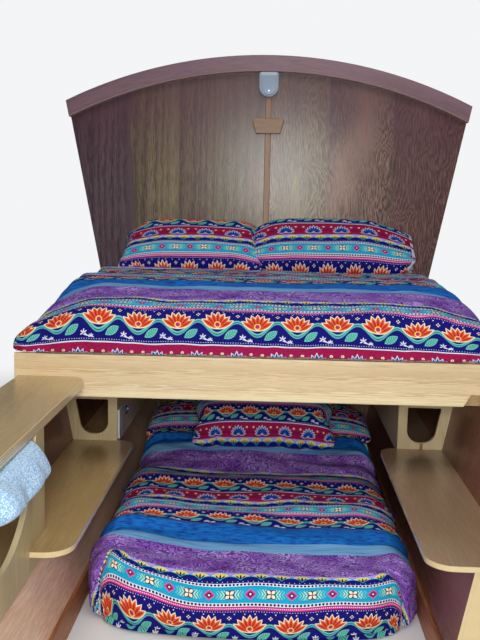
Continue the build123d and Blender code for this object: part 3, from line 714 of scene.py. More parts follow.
# a band's name, the ink of its ground, its picture
PICTURES = (
    ("navy", "navy", draw_navy), ("crimson", "crimson", draw_crimson), ("cord", "magenta", draw_cord),
    ("beads", "white", draw_beads), ("turquoise", "turquoise", draw_turquoise),
    ("scallop", "navy", draw_scallop), ("scroll", "lilac", draw_scroll),
    ("pale", "pale", draw_pale), ("blue", "blue", draw_blue),
)
for name, ground, draw in PICTURES:
    band = Band(name, ground)
    draw(band)
    band.wires.feed(band.leave, {"Color": band.colour})
print("bands that can be printed:", ", ".join(name for name, ground, draw in PICTURES))

# %% [markdown]
# ## Laying the bands one above another
# A duvet shows the same few bands again and again. Drawing each one anew would make the
# material very slow, so every kind of band is drawn once: its own height counts from the
# nearest start of that kind below the point, and a step for each band picks the picture.

# %% Cotton and the print on it
THREADS = 1100.0        # of the cotton, to a metre
wires, arrive, leave = new_group("Weave", {"Place": ORIGIN, "Threads": 900.0}, {"Height": "Float"})
x, y, z = wires.split(arrive["Place"])
warp, weft = [wires.calc("SINE", side * arrive["Threads"] * math.pi) for side in (x, y)]
wires.feed(leave, {"Height": warp * weft})

# bands of one group from the hem up, each with its height
EDGING = (("cord", 0.10), ("beads", 0.09), ("turquoise", 0.42), ("beads", 0.09), ("scallop", 0.38))
BORDER = (("crimson", 0.66), ("navy", 1.0)) + EDGING
WASHES = (("scroll", 1.55), ("pale", 0.60), ("blue", 1.25))
MIDDLE = (("navy", 1.0),) + EDGING + BORDER
DUVET_BANDS = BORDER + WASHES + MIDDLE + WASHES + MIDDLE
PILLOW_BANDS = (("navy", 1.0),) + EDGING + BORDER + EDGING


def cotton(name, coloured, strength=0.35):
    """Creased and woven cotton, coloured by a rule from its flat cloth place."""
    material, wires, shader = new_finish(name, roughness=0.85, specular_ior_level=0.12)
    flat = wires.out("ShaderNodeUVMap", uv_map="Cloth")
    weave = wires.group("Weave", {"Place": flat, "Threads": THREADS})["Height"]
    creased = weave * 0.02 + wires.noise(flat, 16.0, 4.0, 0.55)
    wires.feed(shader, {
        "Base Color": coloured(wires, flat),
        "Normal": wires.raised(creased, strength, 0.008),
    })
    return material


def printed_cotton(name, bands, repeat):
    """The print, laid out in bands from the hem up; repeat is one lotus to the next, in metres."""
    def coloured(wires, flat):
        x, y, _ = wires.split(flat)
        x, y = x / repeat, y / repeat
        starts, low = [], 0.0
        for kind, high in bands:
            starts.append((kind, low, y > low))
            low += high
        drawn = {}
        for kind in dict.fromkeys(kind for kind, start, passed in starts):
            own = [(start, passed) for band, start, passed in starts if band == kind]
            foot = own[0][0]
            for (before, _), (start, passed) in zip(own, own[1:]):
                foot = passed * (start - before) + foot
            drawn[kind] = wires.group("Band " + kind, {"Place": wires.join(x, y - foot)})["Color"]
        colour = drawn[starts[0][0]]
        for kind, start, passed in starts[1:]:
            colour = wires.mix(passed, colour, drawn[kind])
        return wires.mix(wires.noise(flat, 420.0, 2.0) * 0.08, colour, paint("5a5f92"))
    return cotton(name, coloured)


UPPER_REPEAT = 0.155
LOWER_REPEAT = 0.128
PILLOW_REPEAT = 0.155
SMALL_REPEAT = 0.111
upper_print = printed_cotton("upper duvet print", DUVET_BANDS, UPPER_REPEAT)
lower_print = printed_cotton("lower duvet print", DUVET_BANDS, LOWER_REPEAT)
pillow_print = printed_cotton("pillow print", PILLOW_BANDS, PILLOW_REPEAT)
small_print = printed_cotton("small pillow print", PILLOW_BANDS, SMALL_REPEAT)
white_cotton = cotton("white cotton", lambda wires, flat: wires.mix(
    wires.noise(flat, 24.0, 3.0), paint("e9ecf2"), paint("cdd6e4")), 0.3)
print("bands on a duvet:", len(DUVET_BANDS), "and on a pillow:", len(PILLOW_BANDS))

# %% [markdown]
# ## Sewn pads
# A duvet and a pillow are the same thing to a seamstress: two sheets sewn round the edge
# and filled. So each starts as a flat grid that keeps its cloth measures as a UV map, is
# doubled into an upper and an under sheet, and is shaped by a small rule. A voxel remesh
# would lose those measures, and the print with them, so none is used.

# %% Sewing two sheets


def new_piece(name, form):
    """An object in the scene from a finished form."""
    mesh = bpy.data.meshes.new(name)
    form.to_mesh(mesh)
    form.free()
    piece = bpy.data.objects.new(name, mesh)
    bpy.context.scene.collection.objects.link(piece)
    return piece


def sewn_pad(name, span_x, span_y, spacing, shape, chart, plain=None):
    """A closed pad: shape(s, t, under) places a point of either sheet, chart gives its cloth
    place, and plain says which faces take the piece's second material."""
    pad = bmesh.new()
    cloth = pad.loops.layers.uv.new("Cloth")
    held = pad.verts.layers.deform.verify()
    wide, long = span_x[1] - span_x[0], span_y[1] - span_y[0]
    bmesh.ops.create_grid(pad, x_segments=round(wide / spacing), y_segments=round(long / spacing), size=1)
    bmesh.ops.scale(pad, vec=(wide / 2, long / 2, 1), verts=pad.verts[:])
    bmesh.ops.translate(pad, vec=(sum(span_x) / 2, sum(span_y) / 2, 0), verts=pad.verts[:])
    upper = pad.verts[:]
    doubled = bmesh.ops.duplicate(pad, geom=pad.verts[:] + pad.edges[:] + pad.faces[:])["geom"]
    under = [part for part in doubled if isinstance(part, bmesh.types.BMVert)]
    back_faces = [part for part in doubled if isinstance(part, bmesh.types.BMFace)]
    bmesh.ops.reverse_faces(pad, faces=back_faces)
    for is_under, faces in ((False, set(pad.faces) - set(back_faces)), (True, back_faces)):
        for face in faces:
            middle = face.calc_center_median()
            face.material_index = int(plain is not None and plain(middle))
            for loop in face.loops:
                loop[cloth].uv = chart(loop.vert.co, middle, is_under)
    for vertex in upper:
        vertex.co = shape(vertex.co.x, vertex.co.y, False)
    for vertex in under:
        vertex.co = shape(vertex.co.x, vertex.co.y, True)
        vertex[held][0] = 1.0
    bmesh.ops.remove_doubles(pad, verts=pad.verts[:], dist=1e-5)
    piece = new_piece(name, pad)
    piece.vertex_groups.new(name="held")
    piece.data.shade_smooth()
    return piece


def plump(piece, pressure, reach, growth=0.0, bending=0.4, frames=20, pinned=True):
    """Fills a pad by a cloth simulation and applies it; no point moves further than reach."""
    before = [vertex.co.copy() for vertex in piece.data.vertices]
    cloth = piece.modifiers.new("Cloth", "CLOTH")
    settings = cloth.settings
    settings.quality = 6
    settings.mass = 0.25
    settings.use_pressure = True
    settings.uniform_pressure_force = pressure
    settings.effector_weights.gravity = 0
    settings.tension_stiffness = settings.compression_stiffness = 12.0
    settings.shear_stiffness = 6.0
    settings.bending_stiffness = bending
    settings.shrink_min = -growth
    if pinned:
        settings.vertex_group_mass = "held"
    cloth.point_cache.frame_end = frames
    scene = bpy.context.scene
    for step in range(1, frames + 1):
        scene.frame_set(step)
    settled = piece.evaluated_get(bpy.context.evaluated_depsgraph_get()).data
    after = [vertex.co.copy() for vertex in settled.vertices]
    piece.modifiers.remove(cloth)
    furthest = 0.0
    for vertex, start, end in zip(piece.data.vertices, before, after):
        move = end - start
        furthest = max(furthest, move.length)
        if move.length > reach:
            move *= reach / move.length
        vertex.co = start + move
    scene.frame_set(1)
    print(piece.name, "moved by up to", round(furthest, 3), "m, kept to", reach)


def dress(piece, materials, node):
    """The finishes of a padded piece, its subdivision, what it stands for and its body."""
    for material in materials:
        piece.data.materials.append(material)
    rounder = piece.modifiers.new("Subdivision", "SUBSURF")
    rounder.levels = rounder.render_levels = 1
    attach(piece, "root")
    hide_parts(node)


print("cloth is filled in this run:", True)

# %% [markdown]
# ## A duvet over a mattress
# Cloth that runs over the edge of a bed goes round a soft shoulder and then straight
# down. At a corner the two hanging sides meet in a tuck. This rule bends a flat sheet
# that way: it measures how far a point is past the shoulder line, sideways and forwards,
# and turns the larger of the two over the edge.

# %% The draping rule


def ease(value, low, high):
    """0 below low and 1 above high, with a soft step between."""
    share = min(1.0, max(0.0, (value - low) / (high - low)))
    return share * share * (3 - 2 * share)


def ripple(point, size_x, size_y, seed):
    """Soft unevenness from -1 to 1 with its own size along X and along Y."""
    return noise.noise(Vector((point.x / size_x + seed, point.y / size_y, point.z * 4)))


def edge_share(value, low, high, width):
    """0 on either edge of a span and 1 once width away from them, on a quarter round."""
    near = max(0.0, min(value - low, high - value, width)) / width
    return math.sqrt(1 - (1 - near) ** 2)


def over_edge(run, radius):
    """How far out and down cloth has gone, and how far it has turned, a run past the shoulder."""
    turned = min(run / radius, math.pi / 2)
    down = radius * (1 - math.cos(turned)) + max(0.0, run - radius * math.pi / 2)
    return radius * math.sin(turned), down, turned


def draped(s, t, shoulder_x, shoulder_y, hang_x, hang_y, radius):
    """A point and its outward direction on a sheet laid over a bed's sides and front."""
    side = -1.0 if s < 0 else 1.0
    share_x = max(0.0, abs(s) - shoulder_x) / hang_x
    share_y = max(0.0, shoulder_y - t) / hang_y
    if share_x == 0 and share_y == 0:
        return Vector((s, t, 0)), Vector((0, 0, 1))
    if share_x >= share_y:
        swing = math.pi / 4 * share_y / share_x
    else:
        swing = math.pi / 2 - math.pi / 4 * share_x / share_y
    hang = hang_x + (hang_y - hang_x) * swing / (math.pi / 2)
    out, down, turned = over_edge(max(share_x, share_y) * hang, radius)
    heading = Vector((side * math.cos(swing), -math.sin(swing), 0))
    base = Vector((side * min(abs(s), shoulder_x), max(t, shoulder_y), 0))
    point = base + heading * out - Vector((0, 0, down))
    return point, heading * math.sin(turned) + Vector((0, 0, math.cos(turned)))


def rounded_in_plan(point, corner_x, corner_y, radius):
    """Draws a point near a front corner in, so that the corner is round seen from above."""
    past_x = (abs(point.x) - (corner_x - radius)) / radius
    past_y = ((corner_y + radius) - point.y) / radius
    if past_x <= 0 or past_y <= 0:
        return point
    drawn = max(past_x, past_y) / math.hypot(past_x, past_y)
    point.x = math.copysign(corner_x - radius + past_x * drawn * radius, point.x)
    point.y = corner_y + radius - past_y * drawn * radius
    return point


print("half way round a 10 cm shoulder:", [round(value, 3) for value in over_edge(0.0785, 0.1)])

# %% [markdown]
# ## Where the print lies on a duvet
# The print has to run along the cloth, over the shoulder and down, and not straight back.
# So lengths are added up along the duvet's middle line. At a tucked corner the front's
# bands go round as far as the side and turn down there.

# %% Measuring along the cloth
CLOTH_STEP = 0.01


def section(shape, first, last):
    """Lengths along a sheet's middle line from its first place to its last."""
    places, lengths, before = [first], [0.0], shape(0.0, first, False)
    while places[-1] < last:
        places.append(places[-1] + CLOTH_STEP)
        here = shape(0.0, places[-1], False)
        lengths.append(lengths[-1] + (here - before).length)
        before = here
    return first, lengths


def run_to(measured, place):
    """The length along the section up to a place."""
    first, lengths = measured
    count = max(0.0, (place - first) / CLOTH_STEP)
    index = min(int(count), len(lengths) - 2)
    return lengths[index] + (count - index) * (lengths[index + 1] - lengths[index])


def turned_down(past, bend):
    """How far a band has dropped at a corner, on a quarter round and then straight."""
    share = min(1.0, max(0.0, past / bend))
    return bend * (1 - math.sqrt(1 - share ** 2)) + 1.5 * max(0.0, past - bend)


def fold_chart(corner, middle, half, front, measured, radius, bend=0.0):
    """Cloth measures at a tucked corner: the front's print goes round it as far as the side,
    and turns down on its way when bend is given."""
    past_x = max(0.0, abs(middle.x) - half)
    past_y = max(0.0, front - middle.y)
    across, along = corner.x, corner.y
    if past_x > 0 and past_y > 0:
        run = max(past_x, past_y)
        if past_y >= past_x:
            swing = math.pi / 4 * max(0.0, abs(corner.x) - half) / run
        else:
            swing = math.pi / 2 - math.pi / 4 * max(0.0, front - corner.y) / run
            along = front - (abs(corner.x) - half)
        across = math.copysign(half + swing * radius, corner.x)
    length_up = run_to(measured, along)
    if past_y > 0 and bend:
        hanging = min(1.0, max(0.0, front - along) / 0.08)
        length_up += turned_down(abs(across) - half + 0.4 * bend, bend) * hanging
    return across, length_up


print("a band drops", round(turned_down(0.12, 0.12), 3), "m where it has gone 0.12 m past a corner")

# %% [markdown]
# ## The upper duvet
# It fills the bed from wall to wall behind the rail, and stands a hand higher in its
# middle than at its front. Its front corners sag where nothing holds them up, the left
# one more than the right. Its hem is tucked behind the rail, in the crimson band.

# %% The upper duvet
SHOULDER = 0.085        # radius of the duvet's front and side edges
CROWN = 0.048           # how much higher the duvet lies in its middle than at its front
BACK_FALL = 0.006       # how much it falls again towards the pillows
SIDE_HANG = 0.19
rail_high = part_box("bed_rail")[1]
duvet_low, duvet_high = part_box("upper_duvet")
UPPER_FRONT = duvet_low.y - 0.006 + SHOULDER
UPPER_TOP = duvet_high.z - 0.046
FRONT_HANG = UPPER_TOP - rail_high.z - SHOULDER * (1 - math.pi / 2) - 0.002
UPPER_HALF = duvet_high.x + 0.004 - SHOULDER
UPPER_SPAN_X = (-UPPER_HALF - SIDE_HANG, UPPER_HALF + SIDE_HANG)
UPPER_SPAN_Y = (UPPER_FRONT - FRONT_HANG, duvet_high.y)
HEM_IN_PRINT = 0.32 * UPPER_REPEAT     # how much of the first band is out of sight behind the rail
# side, how far its front corner sags, how far back the sag runs
CORNER_SAGS = ((-1, 0.085, 1.0), (1, 0.055, 1.2))


def upper_shape(s, t, under):
    """The upper duvet's two sheets."""
    slip = 0.030 * ease(s, 0.1, 0.85) - 0.012 * ease(-s, 0.3, 0.8)
    slip += 0.008 * noise.noise(Vector((s * 3.1, 0.4, 0)))
    slipped = t - slip * (1 - ease(t, UPPER_FRONT, UPPER_FRONT + 0.8)) * ease(t, UPPER_SPAN_Y[0], UPPER_FRONT)
    point, outward = draped(s, slipped, UPPER_HALF, UPPER_FRONT, SIDE_HANG, FRONT_HANG, SHOULDER)
    level = max(0.0, outward.z)
    inner = edge_share(s, *UPPER_SPAN_X, 0.06) * edge_share(t, *UPPER_SPAN_Y, 0.06)
    crown = CROWN * math.sin(min(1.0, max(0.0, t - UPPER_FRONT) / 0.7) * math.pi / 2)
    crown -= BACK_FALL * ease(t, 0.7, 1.4)
    point.z += UPPER_TOP + (0.012 * level + crown) * inner
    for side, sag, reach in CORNER_SAGS:
        outer = ease(s * side, 0.66, 0.97) * (1 - ease(t, UPPER_FRONT, UPPER_FRONT + reach))
        stands = min(1.0, max(0.0, (point.z - rail_high.z) / 0.17))
        point.z -= sag * outer * stands
    if under:
        thickness = 0.026 + (0.085 - 0.026) * level
        return point - outward * thickness * inner
    puff = max(-0.008, ripple(point, 0.34, 0.16, 3.1) * 0.011 + ripple(point, 0.12, 0.05, 8.7) * 0.006)
    back = edge_share(t, UPPER_SPAN_Y[0] - 1, UPPER_SPAN_Y[1], 0.10)
    point.z -= (1 - back) * 0.085
    return point + outward * puff * inner


def upper_chart(corner, middle, under):
    """Cloth measures of the upper duvet, from the hem on the rail."""
    across, up = fold_chart(corner, middle, UPPER_HALF, UPPER_FRONT, upper_section, SHOULDER)
    return across, up + HEM_IN_PRINT


upper_section = section(upper_shape, *UPPER_SPAN_Y)
upper_duvet = sewn_pad("duvet_upper", UPPER_SPAN_X, UPPER_SPAN_Y, 0.0185, upper_shape, upper_chart)
plump(upper_duvet, 1.2, 0.018, growth=0.035, bending=0.2)
dress(upper_duvet, (upper_print,), "upper_duvet")
print("upper duvet, flat:", [round(b - a, 2) for a, b in (UPPER_SPAN_X, UPPER_SPAN_Y)])

# %% [markdown]
# ## The lower duvet
# The low bed's duvet hangs to the floor on three sides, and its corners are rounded and
# tucked. It is thin and wide at the foot of the bed, and the middle of its front bows
# out. The print goes round each front corner with the cloth and ends in a fold on the
# side, where the side's own bands run down to the floor.

# %% The lower duvet
LOW_SHOULDER = 0.065
LOW_CORNER = 0.20       # radius of the front corners seen from above
LOW_BELLY = 0.022       # how far the hanging sides bulge
LOW_BOW = 0.055         # how far the middle of the front bows out beyond the corners
LOW_SPREAD = 0.030      # how much wider the foot of the bed is on each side
LOW_SHIFT = 0.014       # and how far it lies to the right
LOW_BEND = 0.12         # how far the front's bands take to turn down at a corner
ABOVE_FLOOR = 0.004
FLOOR_IN_PRINT = 0.84 * LOWER_REPEAT   # how far up the print the floor hides it
low_low, low_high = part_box("lower_duvet")
LOW_MIDDLE = (low_low.x + low_high.x) / 2
LOW_HALF = (low_high.x - low_low.x) / 2 - LOW_SHOULDER + 0.004
LOW_FRONT = low_low.y + LOW_SHOULDER
LOW_TOP = low_high.z - 0.020
LOW_HANG = LOW_TOP - LOW_SHOULDER * (1 - math.pi / 2) - 0.006
LOW_SPAN_X = (-LOW_HALF - LOW_HANG, LOW_HALF + LOW_HANG)
LOW_SPAN_Y = (LOW_FRONT - LOW_HANG, low_high.y)


def pressed(s, t):
    """How much of its full height the lower duvet keeps: it is thin at the foot of the bed."""
    share = 0.70 + 0.14 * ease(t, -0.45, 0.32) + 0.16 * ease(t, 0.30, 0.60)
    return share + (1 - share) * 0.30 * ease(-s, 0.15, 0.5)


def lower_shape(s, t, under):
    """The lower duvet's two sheets."""
    hanging = 1 - ease(t, LOW_FRONT, LOW_FRONT + 0.25)
    slip = 0.016 * noise.noise(Vector((s * 2.3, 7.7, 0)))
    slip += 0.014 * noise.noise(Vector((s * 5.1, 2.2, t * 3)))
    slip -= 0.030 * ease(-s, 0.1, 0.55) - 0.008 * ease(s, 0.2, 0.5)
    slipped = t - slip * hanging * ease(t, LOW_SPAN_Y[0], LOW_SPAN_Y[0] + 0.08)
    point, outward = draped(s, slipped, LOW_HALF, LOW_FRONT, LOW_HANG, LOW_HANG, LOW_SHOULDER)
    level = max(0.0, outward.z)
    inner = edge_share(s, *LOW_SPAN_X, 0.05) * edge_share(t, *LOW_SPAN_Y, 0.05)
    point = rounded_in_plan(point, LOW_HALF + LOW_SHOULDER, LOW_FRONT - LOW_SHOULDER, LOW_CORNER)
    aside = LOW_SPREAD * min(1.0, max(-1.0, s / LOW_HALF)) + LOW_SHIFT
    point.x += aside * (1 - ease(t, -0.35, 0.85))
    height = LOW_TOP + point.z
    belly = math.sin(math.pi * min(1.0, max(0.0, height / LOW_TOP))) * LOW_BELLY
    bow = LOW_BOW * (1 - min(1.0, abs(s) / LOW_HALF) ** 2) * (1 - ease(t, LOW_FRONT, LOW_FRONT + 0.5))
    point = Vector((point.x + LOW_MIDDLE, point.y - bow, height * pressed(s, t)))
    point += outward * belly * (1 - level)
    if under:
        thickness = 0.040 + (0.080 - 0.040) * level
        return point - outward * thickness * inner
    puff = max(-0.012, ripple(point, 0.42, 0.11, 1.7) * 0.020 + ripple(point, 0.13, 0.045, 5.3) * 0.009)
    back = edge_share(t, LOW_SPAN_Y[0] - 1, LOW_SPAN_Y[1], 0.08)
    point.z -= (1 - back) * 0.06
    return point + outward * puff * inner


def lower_chart(corner, middle, under):
    """Cloth measures of the lower duvet, from the floor."""
    across, up = fold_chart(corner, middle, LOW_HALF, LOW_FRONT, lower_section, LOW_CORNER / 2, LOW_BEND)
    return across, up + FLOOR_IN_PRINT


lower_section = section(lower_shape, *LOW_SPAN_Y)
lower_duvet = sewn_pad("duvet_lower", LOW_SPAN_X, LOW_SPAN_Y, 0.0175, lower_shape, lower_chart)
plump(lower_duvet, 1.6, 0.02, growth=0.045, bending=0.2)
for vertex in lower_duvet.data.vertices:
    vertex.co.z = max(vertex.co.z, ABOVE_FLOOR)
dress(lower_duvet, (lower_print,), "lower_duvet")
print("lower duvet, flat:", [round(b - a, 2) for a, b in (LOW_SPAN_X, LOW_SPAN_Y)])

# %% [markdown]
# ## Pillows
# A pillow is blown up from two flat sheets: the pressure pulls its sides in between the
# corners and crumples the seams, as a real case does. It is filled lying flat, then
# turned and set down where it leans, so that one rule serves all five. On the outer end
# of each upper one, a little of the white pillow shows past its case.

# %% Five pillows
DROOP = 0.045           # how far the outer end of an upper pillow hangs
OPEN_END = 0.008        # how much of the white pillow shows past its printed case
# node, flat width, flat depth, loft, tilt in degrees, how far it has sunk, its print,
# where its lower seam is in the print, how closely the print lies on it
PILLOWS = (
    ("upper_pillow_left", 0.86, 0.50, 0.150, 31, 0.024, pillow_print, 0.097, 1.10),
    ("upper_pillow_right", 0.90, 0.50, 0.150, 35, 0.012, pillow_print, 0.104, 0.94),
    ("lower_pillow_front", 0.72, 0.37, 0.130, 32, 0.0, small_print, 1.84 * SMALL_REPEAT, 1.0),
    ("lower_pillow_left", 0.62, 0.38, 0.120, 12, 0.0, small_print, 0.055, 1.0),
    ("lower_pillow_right", 0.62, 0.38, 0.120, 12, 0.0, small_print, 0.075, 1.0),
)


def make_pillow(row_number, node, wide, deep, loft, tilt_deg, sunk, material, seam, closeness):
    """One pillow that stands for its CAD node."""
    low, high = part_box(node)
    middle = (low + high) / 2 - Vector((0, 0, sunk))
    is_upper = node.startswith("upper")
    outer = -1 if node.endswith("left") else 1

    def shape(s, t, under):
        share_x, share_y = 2 * s / wide, 2 * t / deep - 1
        round_x = edge_share(s, -wide / 2, wide / 2, wide * 0.40)
        round_y = edge_share(t, 0.0, deep, deep * 0.48)
        rise = loft * 0.45 * round_x * round_y
        bulge = 1 + 0.10 * noise.noise(Vector((s * 6, t * 6, row_number * 3.7)))
        x_place = s * (1 - 0.05 * share_y ** 6)
        y_place = (t - deep / 2) * (1 - 0.12 * share_x ** 8)
        return Vector((x_place, y_place, (-rise if under else rise) * bulge))

    def chart(corner, centre, under):
        return corner.x + row_number * 0.031, seam + closeness * (-corner.y if under else corner.y)

    def open_end(centre):
        peeping = OPEN_END + 0.012 * noise.noise(Vector((centre.y * 14, row_number, 0)))
        return is_upper and centre.x * outer > wide / 2 - peeping

    piece = sewn_pad("soft_" + node, (-wide / 2, wide / 2), (0.0, deep), 0.0145, shape, chart, open_end)
    plump(piece, 9.0, 0.05, growth=0.02, bending=0.10, pinned=False, frames=24)
    piece.data.transform(Matrix.Translation(middle) @ Matrix.Rotation(math.radians(tilt_deg), 4, "X"))
    for vertex in piece.data.vertices if is_upper else ():
        out = (vertex.co.x - middle.x) * outer / (wide / 2)
        tall = (vertex.co.z - low.z) / (high.z - low.z)
        sink = DROOP * ease(out, 0.35, 1.0) + 0.6 * DROOP * ease(-out, 0.72, 1.0)
        vertex.co.z -= sink * max(0.0, tall)
    dress(piece, (material, white_cotton), node)


for row_number, row in enumerate(PILLOWS):
    make_pillow(row_number, *row)
print("pillows:", len(PILLOWS))

# %% [markdown]
# ## Mattresses
# Both mattresses are foam in a plain woven cover. Little of them shows, between the
# slats and behind the pillows, so they get crowned sides and rounded edges and no more.

# %% Mattresses
ticking, wires, shader = new_finish("mattress ticking", roughness=0.9, specular_ior_level=0.1)
position = wires.place()
stripes = (fract(wires.split(position)[0] * 34.0) < 0.16) * 0.6
mottled = wires.mix(wires.noise(position, 30.0, 3.0), paint("e9e6dc"), paint("d6d1c3"))
weave = wires.group("Weave", {"Place": position, "Threads": 700.0})["Height"]
wires.feed(shader, {
    "Base Color": wires.mix(stripes, mottled, paint("8fa0b4")),
    "Normal": wires.raised(weave, 0.3, 0.0008),
})


def make_mattress(node, corner, pressing):
    """A foam block with bowed sides and rounded edges; corner is its front corners' radius
    and pressing how far its front half gives way."""
    low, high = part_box(node)
    middle, half = (low + high) / 2, (high - low) / 2
    block = bmesh.new()
    bmesh.ops.create_cube(block, size=2)
    bmesh.ops.scale(block, vec=half * 0.985, verts=block.verts[:])
    bmesh.ops.bevel(block, geom=block.edges[:], offset=0.03, offset_type="OFFSET", segments=3,
                    profile=0.5, affect="EDGES", material=-1)
    long_edges = [edge for edge in block.edges if edge.calc_length() > 0.08]
    bmesh.ops.subdivide_edges(block, edges=long_edges, cuts=11, use_grid_fill=True)
    for vertex in block.verts:
        share_x, share_y = vertex.co.x / half.x, vertex.co.y / half.y
        bow = (1 - share_x ** 2) * (1 - share_y ** 2)
        vertex.co.z += math.copysign(half.z * 0.015 * max(0.0, bow), vertex.co.z)
        if vertex.co.z > 0:
            vertex.co.z -= pressing * (1 - ease(vertex.co.y, -0.1, 0.5))
        vertex.co = rounded_in_plan(vertex.co, half.x, -half.y, corner)
    bmesh.ops.translate(block, vec=middle, verts=block.verts[:])
    piece = new_piece(node.replace("mattress", "foam_mattress"), block)
    piece.data.shade_smooth()
    dress(piece, (ticking,), node)


make_mattress("upper_mattress", 0.06, 0.0)
make_mattress("lower_mattress", LOW_CORNER + 0.04, 0.05)
print("front corners of the lower mattress:", round((LOW_CORNER + 0.04) * 100), "cm in radius")

# %% [markdown]
# ## The grey cushion
# A cushion covered in looped wool is pushed into the open cubby. Its loops are a few
# millimetres across: a bumpy pattern of small cells does for them, over a form that is
# swollen by the same filling as the pillows.

# %% Looped wool
LOOPS = 210.0           # to a metre
wool, wires, shader = new_finish("grey looped wool", roughness=0.95, specular_ior_level=0.1,
                                 sheen_weight=0.15)
position = wires.place()
loops = wires.out("ShaderNodeTexVoronoi", {"Vector": position, "Scale": LOOPS}, "Distance",
                  feature="SMOOTH_F1")
tufts = wires.noise(position, 60.0, 3.0)
# paler on the tops of the loops and darker between them: painted shade in the hollows between the loops
painted_loop_shade = wires.mix(wires.ease(loops, 0.15, 0.6), paint("eefaff"), paint("84b4e2"))
wires.feed(shader, {
    "Base Color": wires.mix(tufts * 0.5, painted_loop_shade, paint("b8e0ff")),
    "Normal": wires.raised(loops * -0.6 + tufts, 0.8, 0.004),
})
print("loops of the wool:", round(1000 / LOOPS, 1), "mm apart")

# %% [markdown]
# ## The cushion's form
# It stands on edge in the cubby and leans out over the sweep of the upright.

# %% The cushion's form
cushion_low, cushion_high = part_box("grey_cushion")
CUSHION_MIDDLE = (cushion_low + cushion_high) / 2
HALF_Y = (cushion_high.y - cushion_low.y) / 2
HALF_Z = (cushion_high.z - cushion_low.z) / 2
FOOT_X = -0.812         # where its lower edge stands in the cubby
HEAD_X = -0.668         # where its upper edge leans over the upright's sweep


def cushion_shape(s, t, under):
    """A thick pad that stands on edge and leans out over the upright's sweep."""
    share_y, share_z = s / HALF_Y, t / HALF_Z
    blunt = edge_share(s, -HALF_Y, HALF_Y, HALF_Y * 0.30) * edge_share(t, -HALF_Z, HALF_Z, HALF_Z * 0.45)
    upper = ease(share_z, 0.0, 0.5)
    thick = (0.022 + 0.056 * upper) * blunt
    dent = 0.010 * noise.noise(Vector((s * 9, t * 9, 4.2))) * blunt
    x_place = FOOT_X + (HEAD_X - FOOT_X) * upper + (-0.75 * thick if under else thick + dent)
    stretch = 0.045 * upper * max(0.0, share_y)
    lifted = 0.022 * upper * max(0.0, 0.3 + 0.7 * share_y)
    return Vector((x_place, CUSHION_MIDDLE.y + s + stretch, CUSHION_MIDDLE.z + t + lifted))


def cushion_chart(corner, middle, under):
    """Cloth measures of the cushion."""
    return corner.x, corner.y


cushion = sewn_pad("soft_grey_cushion", (-HALF_Y, HALF_Y), (-HALF_Z, HALF_Z), 0.010,
                   cushion_shape, cushion_chart)
plump(cushion, 6.0, 0.010, bending=0.3, pinned=False)
dress(cushion, (wool,), "grey_cushion")
print("the cushion leans out by", round((HEAD_X - FOOT_X) * 1000), "mm")

# %% [markdown]
# ## Plastic and brass
# Small fittings catch the eye because they are the only things here that aren't wood or
# cloth. The sensor is off-white and satin, the socket plate glossy, the catch old brass.

# %% Fittings


def moulded(name, code, roughness, coat):
    """Moulded plastic with a faint unevenness."""
    material, wires, shader = new_finish(name, coat_weight=coat, coat_roughness=0.1)
    position = wires.place()
    cloudy = wires.noise(position, 9.0, 3.0)
    edges = wires.group("Edge wear", {"Radius": 0.001, "Amount": 0.2})
    wires.feed(shader, {
        "Base Color": wires.mix(cloudy * 0.2, paint(code), paint("9aa3ab")),
        "Roughness": cloudy * 0.1 + (roughness - 0.05),
        "Normal": wires.raised(wires.noise(position, 700.0, 2.0), 0.05, 0.0003, edges["Normal"]),
    })
    return material


finish_nodes(moulded("sensor plastic", "a7b3c0", 0.35, 0.2), "sensor")
finish_nodes(moulded("socket plastic", "c6c8c8", 0.3, 0.3), "socket_plate")
brass, wires, shader = new_finish("old brass", metallic=1.0)
tarnish = wires.noise(wires.place(), 90.0, 4.0)
wires.feed(shader, {
    "Base Color": wires.mix(wires.ease(tarnish, 0.4, 0.7), paint("8a6a38"), paint("4a3722")),
    "Roughness": tarnish * 0.4 + 0.15,
})
finish_nodes(brass, "brass_catch")
print("pieces finished by a wood, a plastic or brass:", len(finished))

# %% [markdown]
# ## The sensor's window and the charging socket
# A moulded window fills most of the sensor's face and has one small lamp low in it. The
# round socket by the left locker shows in the photograph only by its blue lamp. Both are
# too small for the joinery drawing, so they are made here, from one rounded outline each.

# %% Window, socket and lamps


def fitted(piece, material):
    """A small piece's finish, slot and body."""
    piece.data.materials.append(material)
    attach(piece, "root")


def rounded_slab(name, outline, depth, material):
    """A thin slab from a closed outline, thickened along a vector, with its front edge rounded."""
    slab = bmesh.new()
    front = slab.faces.new([slab.verts.new(point) for point in outline])
    grown = bmesh.ops.extrude_face_region(slab, geom=[front])["geom"]
    raised = [part for part in grown if isinstance(part, bmesh.types.BMVert)]
    bmesh.ops.translate(slab, vec=depth, verts=raised)
    rim = [part for part in slab.edges if all(vertex in raised for vertex in part.verts)]
    bmesh.ops.bevel(slab, geom=rim, offset=0.003, segments=3, profile=0.5, affect="EDGES")
    bmesh.ops.recalc_face_normals(slab, faces=slab.faces[:])
    fitted(new_piece(name, slab), material)


def small_lamp(name, middle, radius, code):
    """A glowing bead."""
    bead = bmesh.new()
    bmesh.ops.create_icosphere(bead, subdivisions=2, radius=radius, matrix=Matrix.Translation(middle))
    piece = new_piece(name, bead)
    piece.data.shade_smooth()
    glow, wires, shader = new_finish(name, roughness=0.3, emission_strength=3.0)
    wires.feed(shader, {"Base Color": paint(code), "Emission Color": paint(code)})
    fitted(piece, glow)


